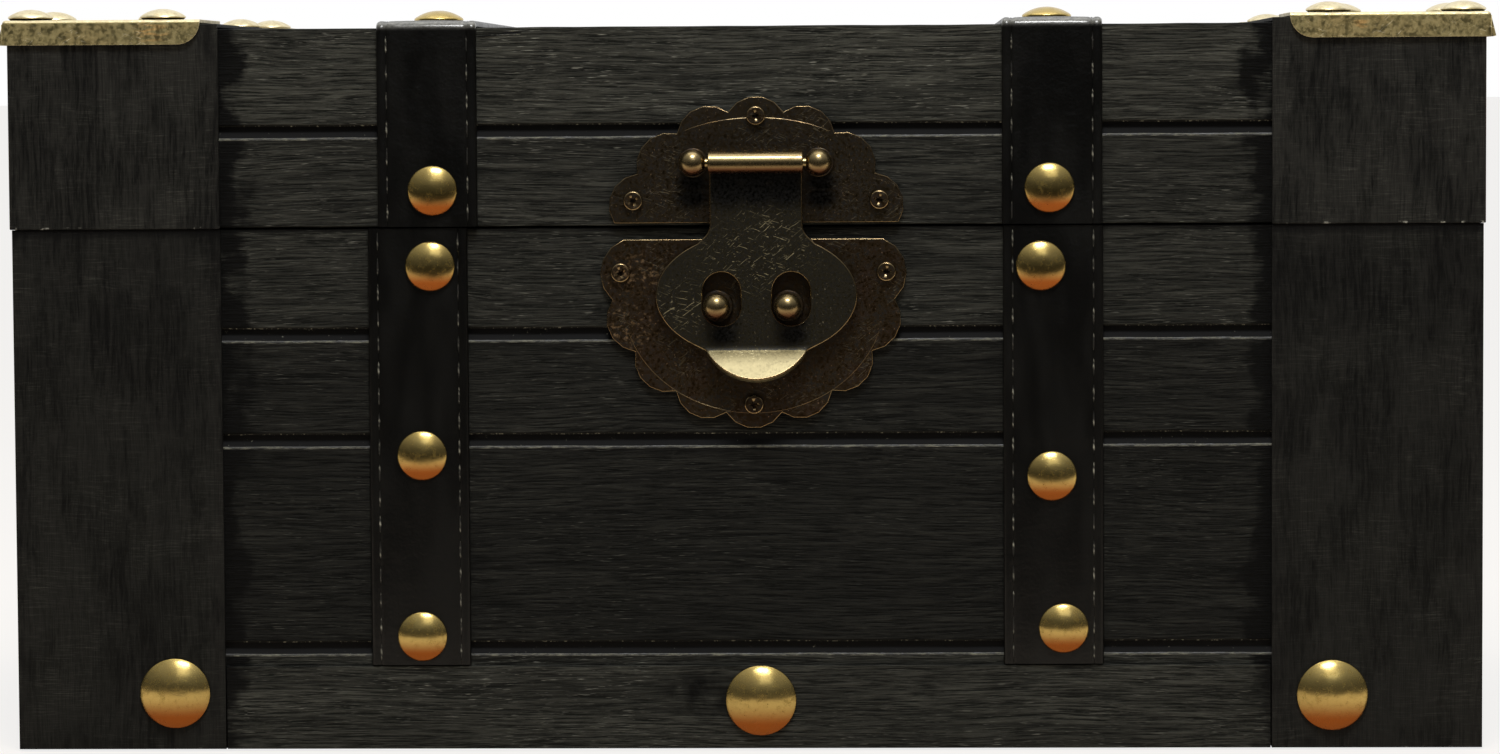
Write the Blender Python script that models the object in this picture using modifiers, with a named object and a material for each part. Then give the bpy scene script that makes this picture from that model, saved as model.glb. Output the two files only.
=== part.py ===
"""A wooden treasure chest: black-stained planks, end bands, leather straps, dome nails and a brass hasp.

Metres, +Z up. X runs along the front, the front faces -Y, and the chest stands on Z = 0. Each piece is its own
closed object. The lid turns on two stop hinges at the back, and the hasp's leaf turns on a pin on the lid.
"""

import math

import bmesh
import bpy
from mathutils import Matrix, Vector

# Clearances
FIT_GAP = 0.0003
PIN_GAP = 0.0002
OVERRUN = 0.0050
WELD = 0.000001

# Plank box
CHEST_WIDTH = 0.3600
CHEST_DEPTH = 0.2100
BASE_HEIGHT = 0.1283
LID_HEIGHT = 0.0486
SPLIT_GAP = 0.0004
LID_OVERHANG = 0.0005
BOARD_THICKNESS = 0.0085
FLOOR_THICKNESS = 0.0050
LID_TOP_THICKNESS = 0.0080
PLANK_WIDTH = 0.0261
WIDE_PLANK_WIDTH = 0.0513
LID_PLANK_WIDTH = 0.0233
GROOVE_WIDTH = 0.0034
GROOVE_DEPTH = 0.0012
GROOVE_FLOOR = 0.0018

# Bands round the ends, and the rails between them
BAND_WIDTH = 0.0513
BAND_THICKNESS = 0.0010
RAIL_HEIGHT = 0.0205
SIDE_PANEL_DEPTH = 0.0013
SIDE_PANEL_TOP_MARGIN = 0.0120

# Leather straps
STRAP_WIDTH = 0.0244
STRAP_THICKNESS = 0.0014
STRAP_EDGE = 0.0005

# What lies between the hasp and a band is a strap and a hinge. The rest of that length is shared out: the left
# and right strap's distance from the hasp, and the hinge's distance from the band.
BASE_STRAP_SHARES = (0.794, 0.639)
LID_STRAP_SHARES = (0.730, 0.634)
HINGE_MARGIN_SHARE = 0.157

# Dome nails
STRAP_NAIL_RADIUS = 0.0061
STRAP_NAIL_DOME = 0.0020
RAIL_NAIL_RADIUS = 0.0087
RAIL_NAIL_DOME = 0.0031
NAIL_RIM = 0.0005
NAIL_SHANK_RADIUS = 0.0009
NAIL_SHANK_LENGTH = 0.0068
NAIL_POINT = 0.0016
TOP_NAIL_SETBACK = 0.0100

# Strap nails of the base: off the strap's centre line, the upper two down from the rim, the lower up from the rail
LEFT_NAIL_OFFSETS = (0.0031, 0.0007, 0.0004)
RIGHT_NAIL_OFFSETS = (-0.0030, -0.0004, 0.0024)
LEFT_NAIL_DROPS = (0.0093, 0.0558)
RIGHT_NAIL_DROPS = (0.0098, 0.0613)
LEFT_NAIL_RISE = 0.0074
RIGHT_NAIL_RISE = 0.0091
LID_NAIL_OFFSETS = (0.0013, -0.0007)
LID_NAIL_RISE = 0.0088

# Rail nails: the end ones from the chest's sides, all up from its underside
LEFT_RAIL_NAIL_INSET = 0.0389
RIGHT_RAIL_NAIL_INSET = 0.0366
MIDDLE_RAIL_NAIL_X = 0.0035
LEFT_RAIL_NAIL_Z = 0.0139
MIDDLE_RAIL_NAIL_Z = 0.0119
RIGHT_RAIL_NAIL_Z = 0.0130

# Hasp plates
HASP_X = 0.0030
LOWER_PLATE_SHIFT = -0.0008
PLATE_THICKNESS = 0.0012
UPPER_PLATE_WIDTH = 0.0694
UPPER_PLATE_HEIGHT = 0.0309
UPPER_PLATE_RISE = 0.0006
LOWER_PLATE_WIDTH = 0.0634
LOWER_PLATE_HEIGHT = 0.0459
LOWER_PLATE_DROP = 0.0030
UPPER_CUSP_SHARES = ((1.0, 0.0), (0.837, 0.390), (0.555, 0.706), (0.195, 0.874))
LOWER_CUSP_SHARES = ((1.0, 0.0), (1.091, -0.322), (0.915, -0.599), (0.603, -0.810), (0.216, -0.926))
LOBE_BULGE_SHARE = 0.285
LOWER_REACH_SHARE = 1.192
LOBE_STEPS = 5

# Hasp screws
SCREW_HEAD_RADIUS = 0.0024
SCREW_HEAD_HEIGHT = 0.0010
SCREW_SHANK_RADIUS = 0.0010
SCREW_LENGTH = 0.0070
SCREW_SLOT_LENGTH = 0.0028
SCREW_SLOT_WIDTH = 0.0006
SCREW_SLOT_DEPTH = 0.0006
UPPER_SCREW_SPREAD = 0.0301
UPPER_SCREW_RISE = 0.0055
TOP_SCREW_RISE = 0.0261
LOWER_SCREW_SPREAD = 0.0325
LOWER_SCREW_DROP = 0.0081
BOTTOM_SCREW_DROP = 0.0405

# Hasp pin, its two knobs, and the two posts that the leaf drops over
PIN_HEIGHT = 0.0153
PIN_OUT = 0.0060
PIN_RADIUS = 0.0012
PIN_END_IN_KNOB = 0.0015
KNOB_SPACING = 0.0307
KNOB_BALL_RADIUS = 0.0033
KNOB_NECK_RADIUS = 0.0023
KNOB_COLLAR_RADIUS = 0.0036
KNOB_COLLAR_HEIGHT = 0.0010
POST_SPACING = 0.0173
POST_SHIFT = -0.0010
POST_DROP = 0.0350
POST_OUT = 0.0075
POST_BALL_RADIUS = 0.0033
POST_NECK_RADIUS = 0.0020
POST_COLLAR_RADIUS = 0.0039
POST_COLLAR_HEIGHT = 0.0011
RIVET_RADIUS = 0.0013
RIVET_LENGTH = 0.0055

# Hasp leaf, measured down from the pin's axis
LEAF_THICKNESS = 0.0016
KNUCKLE_RADIUS = 0.00265
KNUCKLE_LENGTH = 0.0232
NECK_WIDTH = 0.0226
NECK_LENGTH = 0.0150
NECK_FILLET = 0.0042
OVAL_DROP = 0.0323
OVAL_WIDTH = 0.0492
OVAL_HEIGHT = 0.0310
LIP_DROP = 0.0458
LIP_CHORD = 0.0248
LIP_HEIGHT = 0.0068
LIP_ANGLE = math.radians(38)
SLOT_DROP = 0.0332
SLOT_SPACING = 0.0170
SLOT_WIDTH = 0.0093
SLOT_HEIGHT = 0.0130
NECK_FILLET_END = 232
SHOULDER_SHARE = 0.93

# Corner brackets
BRACKET_LENGTH = 0.0487
BRACKET_FLANGE = 0.0056
BRACKET_THICKNESS = 0.0008
BRACKET_INNER_RADIUS = 0.0140
BRACKET_FLARE = math.radians(14)
BRACKET_NAIL_INSET = 0.0062
BRACKET_NAIL_REACH = 0.0389
BRACKET_NAIL_DIAGONAL = 0.0340
BRACKET_NAIL_RADIUS = 0.0056
BRACKET_NAIL_DOME = 0.0018
BRACKET_NAIL_RIM = 0.0009

# Stop hinges at the back
HINGE_WIDTH = 0.0280
HINGE_MIDDLE = 0.0100
HINGE_LEAF_HEIGHT = 0.0140
HINGE_PLATE = 0.0010
HINGE_RADIUS = 0.0022
HINGE_PIN_RADIUS = 0.0010
HINGE_PIN_HEAD = 0.0006
HINGE_PIN_HEAD_RADIUS = 0.0016
HINGE_WING = 0.0060
LID_OPENING = math.radians(100)
STOP_SLACK = math.radians(1)

# Sides of the round shapes
NAIL_SIDES = 20
BRACKET_NAIL_SIDES = 16
BALL_SIDES = 20
SMALL_SIDES = 12
BORE_SIDES = 14
DOME_STEPS = 4
BEND_STEPS = 3
FILLET_STEPS = 4
CORNER_STEPS = 5
SLOT_STEPS = 8
LIP_STEPS = 10
OVAL_STEPS = 16
SMOOTH_ANGLE = math.radians(30)

# Worked out from the sizes above
HALF_WIDTH = CHEST_WIDTH / 2
SKIN = BAND_THICKNESS + FIT_GAP
LID_BOTTOM = BASE_HEIGHT + SPLIT_GAP
LID_PLANK_TOP = LID_BOTTOM + LID_HEIGHT
LID_SKIN_TOP = LID_PLANK_TOP + SKIN
HINGE_OUT = LID_OVERHANG + FIT_GAP + HINGE_RADIUS
STOP_TOUCH = math.asin(HINGE_PLATE / 2 / (HINGE_RADIUS + FIT_GAP))
WING_ANGLE = LID_OPENING / 2 + STOP_TOUCH + STOP_SLACK
WING_REACH = HINGE_WING * math.cos(WING_ANGLE) + HINGE_PLATE / 2 * math.sin(WING_ANGLE)
FRONT_REACH = POST_OUT + POST_BALL_RADIUS - SKIN
BACK_REACH = HINGE_OUT + max(HINGE_RADIUS, WING_REACH) - SKIN
FRONT_FACE = (FRONT_REACH - BACK_REACH - CHEST_DEPTH) / 2
BACK_FACE = FRONT_FACE + CHEST_DEPTH
PLANK_FRONT = FRONT_FACE + SKIN
PLANK_BACK = BACK_FACE - SKIN
LID_FRONT = PLANK_FRONT - LID_OVERHANG
LID_BACK = PLANK_BACK + LID_OVERHANG
HINGE_AXIS_Y = PLANK_BACK + HINGE_OUT
HINGE_AXIS_Z = BASE_HEIGHT + SPLIT_GAP / 2
PIN_AXIS_Y = PLANK_FRONT - PIN_OUT
PIN_AXIS_Z = LID_BOTTOM + PIN_HEIGHT
LOWER_PLATE_X = HASP_X + LOWER_PLATE_SHIFT
HASP_REACH = LOWER_PLATE_WIDTH / 2 * LOWER_REACH_SHARE
HASP_LEFT = HASP_REACH - LOWER_PLATE_X
HASP_RIGHT = HASP_REACH + LOWER_PLATE_X
BAND_INSIDE = HALF_WIDTH - BAND_WIDTH
FREE_LEFT = BAND_INSIDE - HASP_LEFT - STRAP_WIDTH - HINGE_WIDTH
FREE_RIGHT = BAND_INSIDE - HASP_RIGHT - STRAP_WIDTH - HINGE_WIDTH
BASE_STRAP_LEFT_X = -HASP_LEFT - BASE_STRAP_SHARES[0] * FREE_LEFT - STRAP_WIDTH / 2
BASE_STRAP_RIGHT_X = HASP_RIGHT + BASE_STRAP_SHARES[1] * FREE_RIGHT + STRAP_WIDTH / 2
LID_STRAP_LEFT_X = -HASP_LEFT - LID_STRAP_SHARES[0] * FREE_LEFT - STRAP_WIDTH / 2
LID_STRAP_RIGHT_X = HASP_RIGHT + LID_STRAP_SHARES[1] * FREE_RIGHT + STRAP_WIDTH / 2
HINGE_X = BAND_INSIDE - HINGE_MARGIN_SHARE * FREE_RIGHT - HINGE_WIDTH / 2
UPPER_PLATE_Z = LID_BOTTOM + UPPER_PLATE_RISE
LOWER_PLATE_Z = BASE_HEIGHT - LOWER_PLATE_DROP
POST_Z = PIN_AXIS_Z - POST_DROP
FACING_FRONT = Matrix.Rotation(math.radians(90), 4, "X")
ALONG_X = Matrix.Rotation(math.radians(90), 4, "Y")

PARTS = bpy.data.collections.new("treasure_chest")
CUTTERS = bpy.data.collections.new("cutters")


def clear_scene():
    """Removes what the scene holds, and links the two collections."""
    for old in list(bpy.data.objects):
        bpy.data.objects.remove(old, do_unlink=True)
    for collection in (PARTS, CUTTERS):
        bpy.context.scene.collection.children.link(collection)


def surface(name, colour, roughness, metallic):
    """Makes a plain Principled material."""
    material = bpy.data.materials.new(name)
    material.use_nodes = True
    shader = material.node_tree.nodes["Principled BSDF"]
    shader.inputs["Base Color"].default_value = (*colour, 1.0)
    shader.inputs["Roughness"].default_value = roughness
    shader.inputs["Metallic"].default_value = metallic
    material.diffuse_color = (*colour, 1.0)
    return material


def add_box(bm, low, high):
    """Adds a box between two corners."""
    low, high = Vector(low), Vector(high)
    place = Matrix.Translation((low + high) / 2) @ Matrix.Diagonal((high - low).to_4d())
    bmesh.ops.create_cube(bm, size=1.0, matrix=place)


def add_rod(bm, start, end, radius, sides=SMALL_SIDES):
    """Adds a closed cylinder from start to end, whose flats clear the given radius."""
    start, end = Vector(start), Vector(end)
    aim = (end - start).to_track_quat("Z", "Y").to_matrix().to_4x4()
    place = Matrix.Translation((start + end) / 2) @ aim
    outer = radius / math.cos(math.pi / sides)
    bmesh.ops.create_cone(bm, cap_ends=True, segments=sides, radius1=outer, radius2=outer,
                          depth=(end - start).length, matrix=place)


def add_prism(bm, outline, push):
    """Adds a solid: a flat outline of 3D points, pushed along a vector."""
    face = bm.faces.new([bm.verts.new(point) for point in outline])
    pushed = bmesh.ops.extrude_face_region(bm, geom=[face])["geom"]
    moved = [item for item in pushed if isinstance(item, bmesh.types.BMVert)]
    bmesh.ops.translate(bm, verts=moved, vec=push)


def mesh_from(bm, name):
    """Turns a bmesh into a mesh whose faces point out."""
    bmesh.ops.recalc_face_normals(bm, faces=bm.faces)
    mesh = bpy.data.meshes.new(name)
    bm.to_mesh(mesh)
    bm.free()
    mesh.shade_smooth()
    mesh.set_sharp_from_angle(angle=SMOOTH_ANGLE)
    return mesh


def part(name, data, material, place=None):
    """Adds a finished piece to the chest."""
    piece = bpy.data.objects.new(name, data)
    if material.name not in [slot.name for slot in data.materials if slot]:
        data.materials.append(material)
    if place is not None:
        piece.matrix_world = place
    PARTS.objects.link(piece)
    return piece


def tool(name, data, place=None):
    """Adds a hidden body that cuts or joins another."""
    body = bpy.data.objects.new(name, data)
    if place is not None:
        body.matrix_world = place
    body.hide_render = True
    body.display_type = "WIRE"
    CUTTERS.objects.link(body)
    return body


def box_part(name, low, high, material):
    """Adds a box piece, with its origin at its centre."""
    low, high = Vector(low), Vector(high)
    bm = bmesh.new()
    add_box(bm, (low - high) / 2, (high - low) / 2)
    return part(name, mesh_from(bm, name), material, Matrix.Translation((low + high) / 2))


def combine(piece, body, operation):
    """Cuts a piece with a body (DIFFERENCE) or joins the body to it (UNION)."""
    step = piece.modifiers.new(body.name, "BOOLEAN")
    step.operation = operation
    step.object = body


def soften(piece, width):
    """Rounds a piece's edges a little."""
    bevel = piece.modifiers.new("softened edges", "BEVEL")
    bevel.width = width
    bevel.segments = 1
    bevel.limit_method = "ANGLE"


def turned(name, profile, sides):
    """Makes the half profile of a turned piece, given as (radius, height) from its top down."""
    mesh = bpy.data.meshes.new(name)
    mesh.from_pydata([(r, 0.0, z) for r, z in profile], [(i, i + 1) for i in range(len(profile) - 1)], [])
    mesh["sides"] = sides
    return mesh


def turn(piece):
    """Sweeps a turned piece's profile round its own Z axis."""
    screw = piece.modifiers.new("turned", "SCREW")
    screw.axis = "Z"
    screw.angle = math.tau
    screw.steps = screw.render_steps = piece.data["sides"]
    screw.use_merge_vertices = True
    screw.merge_threshold = WELD
    screw.use_smooth_shade = True
    return piece


def flat_plate(name, loops, thickness):
    """Makes a plate centred on its own plane, from an outline and the loops of its holes."""
    curve = bpy.data.curves.new(name, "CURVE")
    curve.dimensions = "2D"
    curve.fill_mode = "BOTH"
    curve.extrude = thickness / 2
    for loop in loops:
        spline = curve.splines.new("POLY")
        spline.points.add(len(loop) - 1)
        for point, (x, y) in zip(spline.points, loop):
            point.co = (x, y, 0.0, 1.0)
        spline.use_cyclic_u = True
    holder = bpy.data.objects.new(name, curve)
    CUTTERS.objects.link(holder)
    graph = bpy.context.evaluated_depsgraph_get()
    mesh = bpy.data.meshes.new_from_object(holder.evaluated_get(graph))
    bpy.data.objects.remove(holder, do_unlink=True)
    bm = bmesh.new()
    bm.from_mesh(mesh)
    bmesh.ops.remove_doubles(bm, verts=bm.verts, dist=WELD)
    return mesh_from(bm, name)


def circle(x, y, radius, sides=SMALL_SIDES):
    """A closed loop of points whose flats clear the given radius."""
    outer = radius / math.cos(math.pi / sides)
    return [(x + outer * math.cos(math.tau * i / sides), y + outer * math.sin(math.tau * i / sides))
            for i in range(sides)]


def arc(x, y, radius, start, end, steps):
    """Points of an arc from one angle to another, in degrees, ends included."""
    angles = [math.radians(start + (end - start) * i / steps) for i in range(steps + 1)]
    return [(x + radius * math.cos(a), y + radius * math.sin(a)) for a in angles]


def lobe(start, end):
    """A lobe bulging to the left of the way from start to end, without its end point."""
    start, end = Vector(start), Vector(end)
    chord = end - start
    rise = LOBE_BULGE_SHARE * chord.length
    radius = (chord.length ** 2 / 4 + rise ** 2) / (2 * rise)
    outward = Vector((chord.y, -chord.x)).normalized()
    centre = (start + end) / 2 + outward * (rise - radius)
    spread = math.asin(chord.length / 2 / radius)
    heading = math.atan2(outward.y, outward.x)
    return [(centre.x + radius * math.cos(heading + spread * (2 * i / LOBE_STEPS - 1)),
             centre.y + radius * math.sin(heading + spread * (2 * i / LOBE_STEPS - 1)))
            for i in range(LOBE_STEPS)]


def lobed_outline(shares, half_width, height):
    """The outline of a hasp plate: one straight edge, and lobes between cusps set as shares of its size."""
    right = [(x * half_width, y * height) for x, y in shares]
    cusps = right + [(-x, y) for x, y in reversed(right)]
    if right[1][1] < 0:
        cusps.reverse()
    points = []
    for start, end in zip(cusps, cusps[1:]):
        points += lobe(start, end)
    return points + [cusps[-1]]


def dome_profile(radius, dome, rim):
    """A spherical cap and its rim, as (radius, height) from the top down."""
    ball = (radius ** 2 + dome ** 2) / (2 * dome)
    spread = math.asin(radius / ball)
    cap = [(ball * math.sin(spread * i / DOME_STEPS), rim + dome - ball + ball * math.cos(spread * i / DOME_STEPS))
           for i in range(DOME_STEPS + 1)]
    return cap + [(radius, 0.0)]


def nail_profile(radius, dome):
    """A dome nail: its cap, shank and point. Its height zero is the surface that it is driven into."""
    head = [(r, z + FIT_GAP) for r, z in dome_profile(radius, dome, NAIL_RIM)]
    return head + [(NAIL_SHANK_RADIUS, FIT_GAP), (NAIL_SHANK_RADIUS, NAIL_POINT - NAIL_SHANK_LENGTH),
                   (0.0, -NAIL_SHANK_LENGTH)]


def ball_profile(ball_height, ball_radius, neck_radius, collar_radius, collar_height):
    """A ball on a neck and a collar, riveted through its plate. Height zero is the plate's front."""
    neck_angle = 180 - math.degrees(math.asin(neck_radius / ball_radius))
    ball = [(ball_radius * math.sin(math.radians(a)), ball_height + ball_radius * math.cos(math.radians(a)))
            for a in [neck_angle * i / (2 * DOME_STEPS) for i in range(2 * DOME_STEPS + 1)]]
    return ball + [(neck_radius, FIT_GAP + collar_height), (collar_radius, FIT_GAP + collar_height),
                   (collar_radius, FIT_GAP), (RIVET_RADIUS, FIT_GAP), (RIVET_RADIUS, -RIVET_LENGTH),
                   (0.0, -RIVET_LENGTH)]


def screw_profile():
    """A screw with a low round head. Height zero is the plate's front."""
    head = [(r, z + FIT_GAP) for r, z in dome_profile(SCREW_HEAD_RADIUS, SCREW_HEAD_HEIGHT / 2, SCREW_HEAD_HEIGHT / 2)]
    return head + [(SCREW_SHANK_RADIUS, FIT_GAP), (SCREW_SHANK_RADIUS, NAIL_POINT - SCREW_LENGTH),
                   (0.0, -SCREW_LENGTH)]


def front_place(x, y, z):
    """Places a turned piece on the front, with its top towards -Y."""
    return Matrix.Translation((x, y, z)) @ FACING_FRONT


def groove_heights():
    """Heights of the grooves between the planks: three in the base and one in the lid."""
    upper = BASE_HEIGHT - PLANK_WIDTH
    middle = upper - PLANK_WIDTH
    return [middle - WIDE_PLANK_WIDTH, middle, upper], [LID_BOTTOM + LID_PLANK_WIDTH]


def add_groove(bm, start, along, height, out):
    """Adds a groove's body: square at its top, sloping out at its bottom.

    Args:
        bm: the bmesh that takes it.
        start: a point of the board's face at one end, whose place along the height axis is not used.
        along: the vector from that end to the other.
        height: a vector along which the groove has its width, from its sloping side to its square side.
        out: the unit vector out of the face.
    """
    half = height * (GROOVE_WIDTH / 2)
    deep = out * -GROOVE_DEPTH
    floor = height * (GROOVE_WIDTH / 2 - GROOVE_FLOOR)
    over = out * OVERRUN
    add_prism(bm, [start - half + over, start - half, start + floor + deep, start + half + deep,
                   start + half + over], along)


def base_nail_places():
    """Places of the base's strap nails on the front, by name."""
    rows = ("upper", "middle", "lower")
    places = {}
    for side, x, offsets, drops, rise in (
            ("left", BASE_STRAP_LEFT_X, LEFT_NAIL_OFFSETS, LEFT_NAIL_DROPS, LEFT_NAIL_RISE),
            ("right", BASE_STRAP_RIGHT_X, RIGHT_NAIL_OFFSETS, RIGHT_NAIL_DROPS, RIGHT_NAIL_RISE)):
        heights = [BASE_HEIGHT - drop for drop in drops] + [RAIL_HEIGHT + rise]
        for row, offset, height in zip(rows, offsets, heights):
            places[f"{side}_strap_nail_{row}"] = (x + offset, height)
    return places


def rail_nail_places():
    """Places of the three large nails along the bottom of the front."""
    return {"rail_nail_left": (LEFT_RAIL_NAIL_INSET - HALF_WIDTH, LEFT_RAIL_NAIL_Z),
            "rail_nail_middle": (MIDDLE_RAIL_NAIL_X, MIDDLE_RAIL_NAIL_Z),
            "rail_nail_right": (HALF_WIDTH - RIGHT_RAIL_NAIL_INSET, RIGHT_RAIL_NAIL_Z)}


def lid_nail_places():
    """Places of the two strap nails on the lid's front."""
    return {"lid_left_front_nail": (LID_STRAP_LEFT_X + LID_NAIL_OFFSETS[0], LID_BOTTOM + LID_NAIL_RISE),
            "lid_right_front_nail": (LID_STRAP_RIGHT_X + LID_NAIL_OFFSETS[1], LID_BOTTOM + LID_NAIL_RISE)}


def lower_screw_places():
    """Places of the lower plate's screws."""
    return {"lower_plate_screw_left": (LOWER_PLATE_X - LOWER_SCREW_SPREAD, LOWER_PLATE_Z - LOWER_SCREW_DROP),
            "lower_plate_screw_right": (LOWER_PLATE_X + LOWER_SCREW_SPREAD, LOWER_PLATE_Z - LOWER_SCREW_DROP),
            "lower_plate_screw_bottom": (LOWER_PLATE_X, LOWER_PLATE_Z - BOTTOM_SCREW_DROP)}


def upper_screw_places():
    """Places of the upper plate's screws."""
    return {"upper_plate_screw_left": (HASP_X - UPPER_SCREW_SPREAD, UPPER_PLATE_Z + UPPER_SCREW_RISE),
            "upper_plate_screw_right": (HASP_X + UPPER_SCREW_SPREAD, UPPER_PLATE_Z + UPPER_SCREW_RISE),
            "upper_plate_screw_top": (HASP_X, UPPER_PLATE_Z + TOP_SCREW_RISE)}


def post_places():
    """Places of the two posts on the lower plate."""
    middle = HASP_X + POST_SHIFT
    return {"hasp_post_left": (middle - POST_SPACING / 2, POST_Z),
            "hasp_post_right": (middle + POST_SPACING / 2, POST_Z)}


def knob_places():
    """Places of the two knobs that hold the pin on the upper plate."""
    return {"hasp_knob_left": (HASP_X - KNOB_SPACING / 2, PIN_AXIS_Z),
            "hasp_knob_right": (HASP_X + KNOB_SPACING / 2, PIN_AXIS_Z)}


def drill(bm, places, face, depth, radius):
    """Adds a bore into the front at each place, a given depth behind a face."""
    for x, z in places.values():
        add_rod(bm, (x, face - OVERRUN, z), (x, face + depth, z), radius + FIT_GAP)


def add_long_grooves(bm, heights, face, out):
    """Adds grooves that run the length of a front or back board."""
    for z in heights:
        add_groove(bm, Vector((-HALF_WIDTH, face, z)), Vector((CHEST_WIDTH, 0.0, 0.0)),
                   Vector((0.0, 0.0, 1.0)), Vector((0.0, out, 0.0)))


def make_wall_boards(wood):
    """The front and back boards of the base and lid, let in between the side boards."""
    base_grooves, lid_grooves = groove_heights()
    reach = HALF_WIDTH - BOARD_THICKNESS - FIT_GAP
    lid_reach = reach + LID_OVERHANG
    nail_depth = NAIL_SHANK_LENGTH + FIT_GAP
    fronts = {}
    for name, low, high, grooves, face, out in (
            ("base_front_board", SKIN, BASE_HEIGHT, base_grooves, PLANK_FRONT, -1),
            ("base_back_board", SKIN, BASE_HEIGHT, base_grooves, PLANK_BACK, 1),
            ("lid_front_board", LID_BOTTOM, LID_PLANK_TOP, lid_grooves, LID_FRONT, -1),
            ("lid_back_board", LID_BOTTOM, LID_PLANK_TOP, lid_grooves, LID_BACK, 1)):
        half = lid_reach if name.startswith("lid") else reach
        inner = face - out * BOARD_THICKNESS
        board = box_part(name, (-half, min(face, inner), low), (half, max(face, inner), high), wood)
        bm = bmesh.new()
        add_long_grooves(bm, grooves, face, out)
        combine(board, tool(name + "_grooves", mesh_from(bm, name)), "DIFFERENCE")
        fronts[name] = board
    bm = bmesh.new()
    drill(bm, base_nail_places(), PLANK_FRONT, nail_depth - STRAP_THICKNESS, NAIL_SHANK_RADIUS)
    drill(bm, rail_nail_places(), PLANK_FRONT, nail_depth - BAND_THICKNESS, NAIL_SHANK_RADIUS)
    drill(bm, lower_screw_places(), PLANK_FRONT, SCREW_LENGTH - PLATE_THICKNESS + FIT_GAP, SCREW_SHANK_RADIUS)
    drill(bm, post_places(), PLANK_FRONT, RIVET_LENGTH - PLATE_THICKNESS + FIT_GAP, RIVET_RADIUS)
    combine(fronts["base_front_board"], tool("base_front_bores", mesh_from(bm, "bores")), "DIFFERENCE")
    bm = bmesh.new()
    drill(bm, lid_nail_places(), LID_FRONT, nail_depth - STRAP_THICKNESS, NAIL_SHANK_RADIUS)
    drill(bm, upper_screw_places(), LID_FRONT, SCREW_LENGTH - PLATE_THICKNESS + FIT_GAP, SCREW_SHANK_RADIUS)
    drill(bm, knob_places(), LID_FRONT, RIVET_LENGTH - PLATE_THICKNESS + FIT_GAP, RIVET_RADIUS)
    combine(fronts["lid_front_board"], tool("lid_front_bores", mesh_from(bm, "bores")), "DIFFERENCE")


def make_side_boards(wood):
    """The end boards, each with a sunk panel of planks between two stiles."""
    base_grooves, lid_grooves = groove_heights()
    for side, name in ((-1, "left"), (1, "right")):
        for level, low, high, face, front, back, panel_low, panel_high, grooves in (
                ("base", SKIN, BASE_HEIGHT, HALF_WIDTH, PLANK_FRONT, PLANK_BACK,
                 RAIL_HEIGHT, BASE_HEIGHT + OVERRUN, base_grooves),
                ("lid", LID_BOTTOM, LID_PLANK_TOP, HALF_WIDTH + LID_OVERHANG, LID_FRONT, LID_BACK,
                 LID_BOTTOM - OVERRUN, LID_PLANK_TOP - SIDE_PANEL_TOP_MARGIN, lid_grooves)):
            inner, outer = sorted((side * face, side * (face - BOARD_THICKNESS)))
            label = f"{level}_{name}_board"
            board = box_part(label, (inner, front, low), (outer, back, high), wood)
            panel = side * (face - SIDE_PANEL_DEPTH)
            near, far = sorted((panel, side * (face + OVERRUN)))
            panel_front, panel_back = FRONT_FACE + BAND_WIDTH, BACK_FACE - BAND_WIDTH
            bm = bmesh.new()
            add_box(bm, (near, panel_front, panel_low), (far, panel_back, panel_high))
            combine(board, tool(label + "_panel", mesh_from(bm, label)), "DIFFERENCE")
            bm = bmesh.new()
            for z in grooves:
                add_groove(bm, Vector((panel, panel_front, z)), Vector((0.0, panel_back - panel_front, 0.0)),
                           Vector((0.0, 0.0, 1.0)), Vector((side, 0.0, 0.0)))
            combine(board, tool(label + "_grooves", mesh_from(bm, label)), "DIFFERENCE")


def make_floor_and_top(wood):
    """The floor board, and the lid's top board with grooves along it."""
    reach = HALF_WIDTH - BOARD_THICKNESS - FIT_GAP
    depth = BOARD_THICKNESS + FIT_GAP
    box_part("base_floor_board", (-reach, PLANK_FRONT + depth, SKIN),
             (reach, PLANK_BACK - depth, SKIN + FLOOR_THICKNESS), wood)
    reach += LID_OVERHANG
    front, back = LID_FRONT + depth, LID_BACK - depth
    top = box_part("lid_top_board", (-reach, front, LID_PLANK_TOP - LID_TOP_THICKNESS),
                   (reach, back, LID_PLANK_TOP), wood)
    bm = bmesh.new()
    middle = (front + back) / 2
    count = int((back - front) / 2 / PLANK_WIDTH)
    for place in range(-count, count + 1):
        start = Vector((-HALF_WIDTH - OVERRUN, middle + place * PLANK_WIDTH, LID_PLANK_TOP))
        add_groove(bm, start, Vector((CHEST_WIDTH + 2 * OVERRUN, 0.0, 0.0)),
                   Vector((0.0, 1.0, 0.0)), Vector((0.0, 0.0, 1.0)))
    combine(top, tool("lid_top_grooves", mesh_from(bm, "lid_top_grooves")), "DIFFERENCE")
    bm = bmesh.new()
    for x, y in top_nail_places().values():
        add_rod(bm, (x, y, LID_PLANK_TOP + OVERRUN), (x, y, LID_PLANK_TOP + STRAP_THICKNESS - NAIL_SHANK_LENGTH),
                NAIL_SHANK_RADIUS + FIT_GAP)
    combine(top, tool("lid_top_bores", mesh_from(bm, "lid_top_bores")), "DIFFERENCE")


def top_nail_places():
    """Places of the two strap nails on the lid's top."""
    y = LID_FRONT + BOARD_THICKNESS + FIT_GAP + TOP_NAIL_SETBACK
    return {"lid_left_top_nail": (LID_STRAP_LEFT_X + LID_NAIL_OFFSETS[0], y),
            "lid_right_top_nail": (LID_STRAP_RIGHT_X + LID_NAIL_OFFSETS[1], y)}


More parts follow.
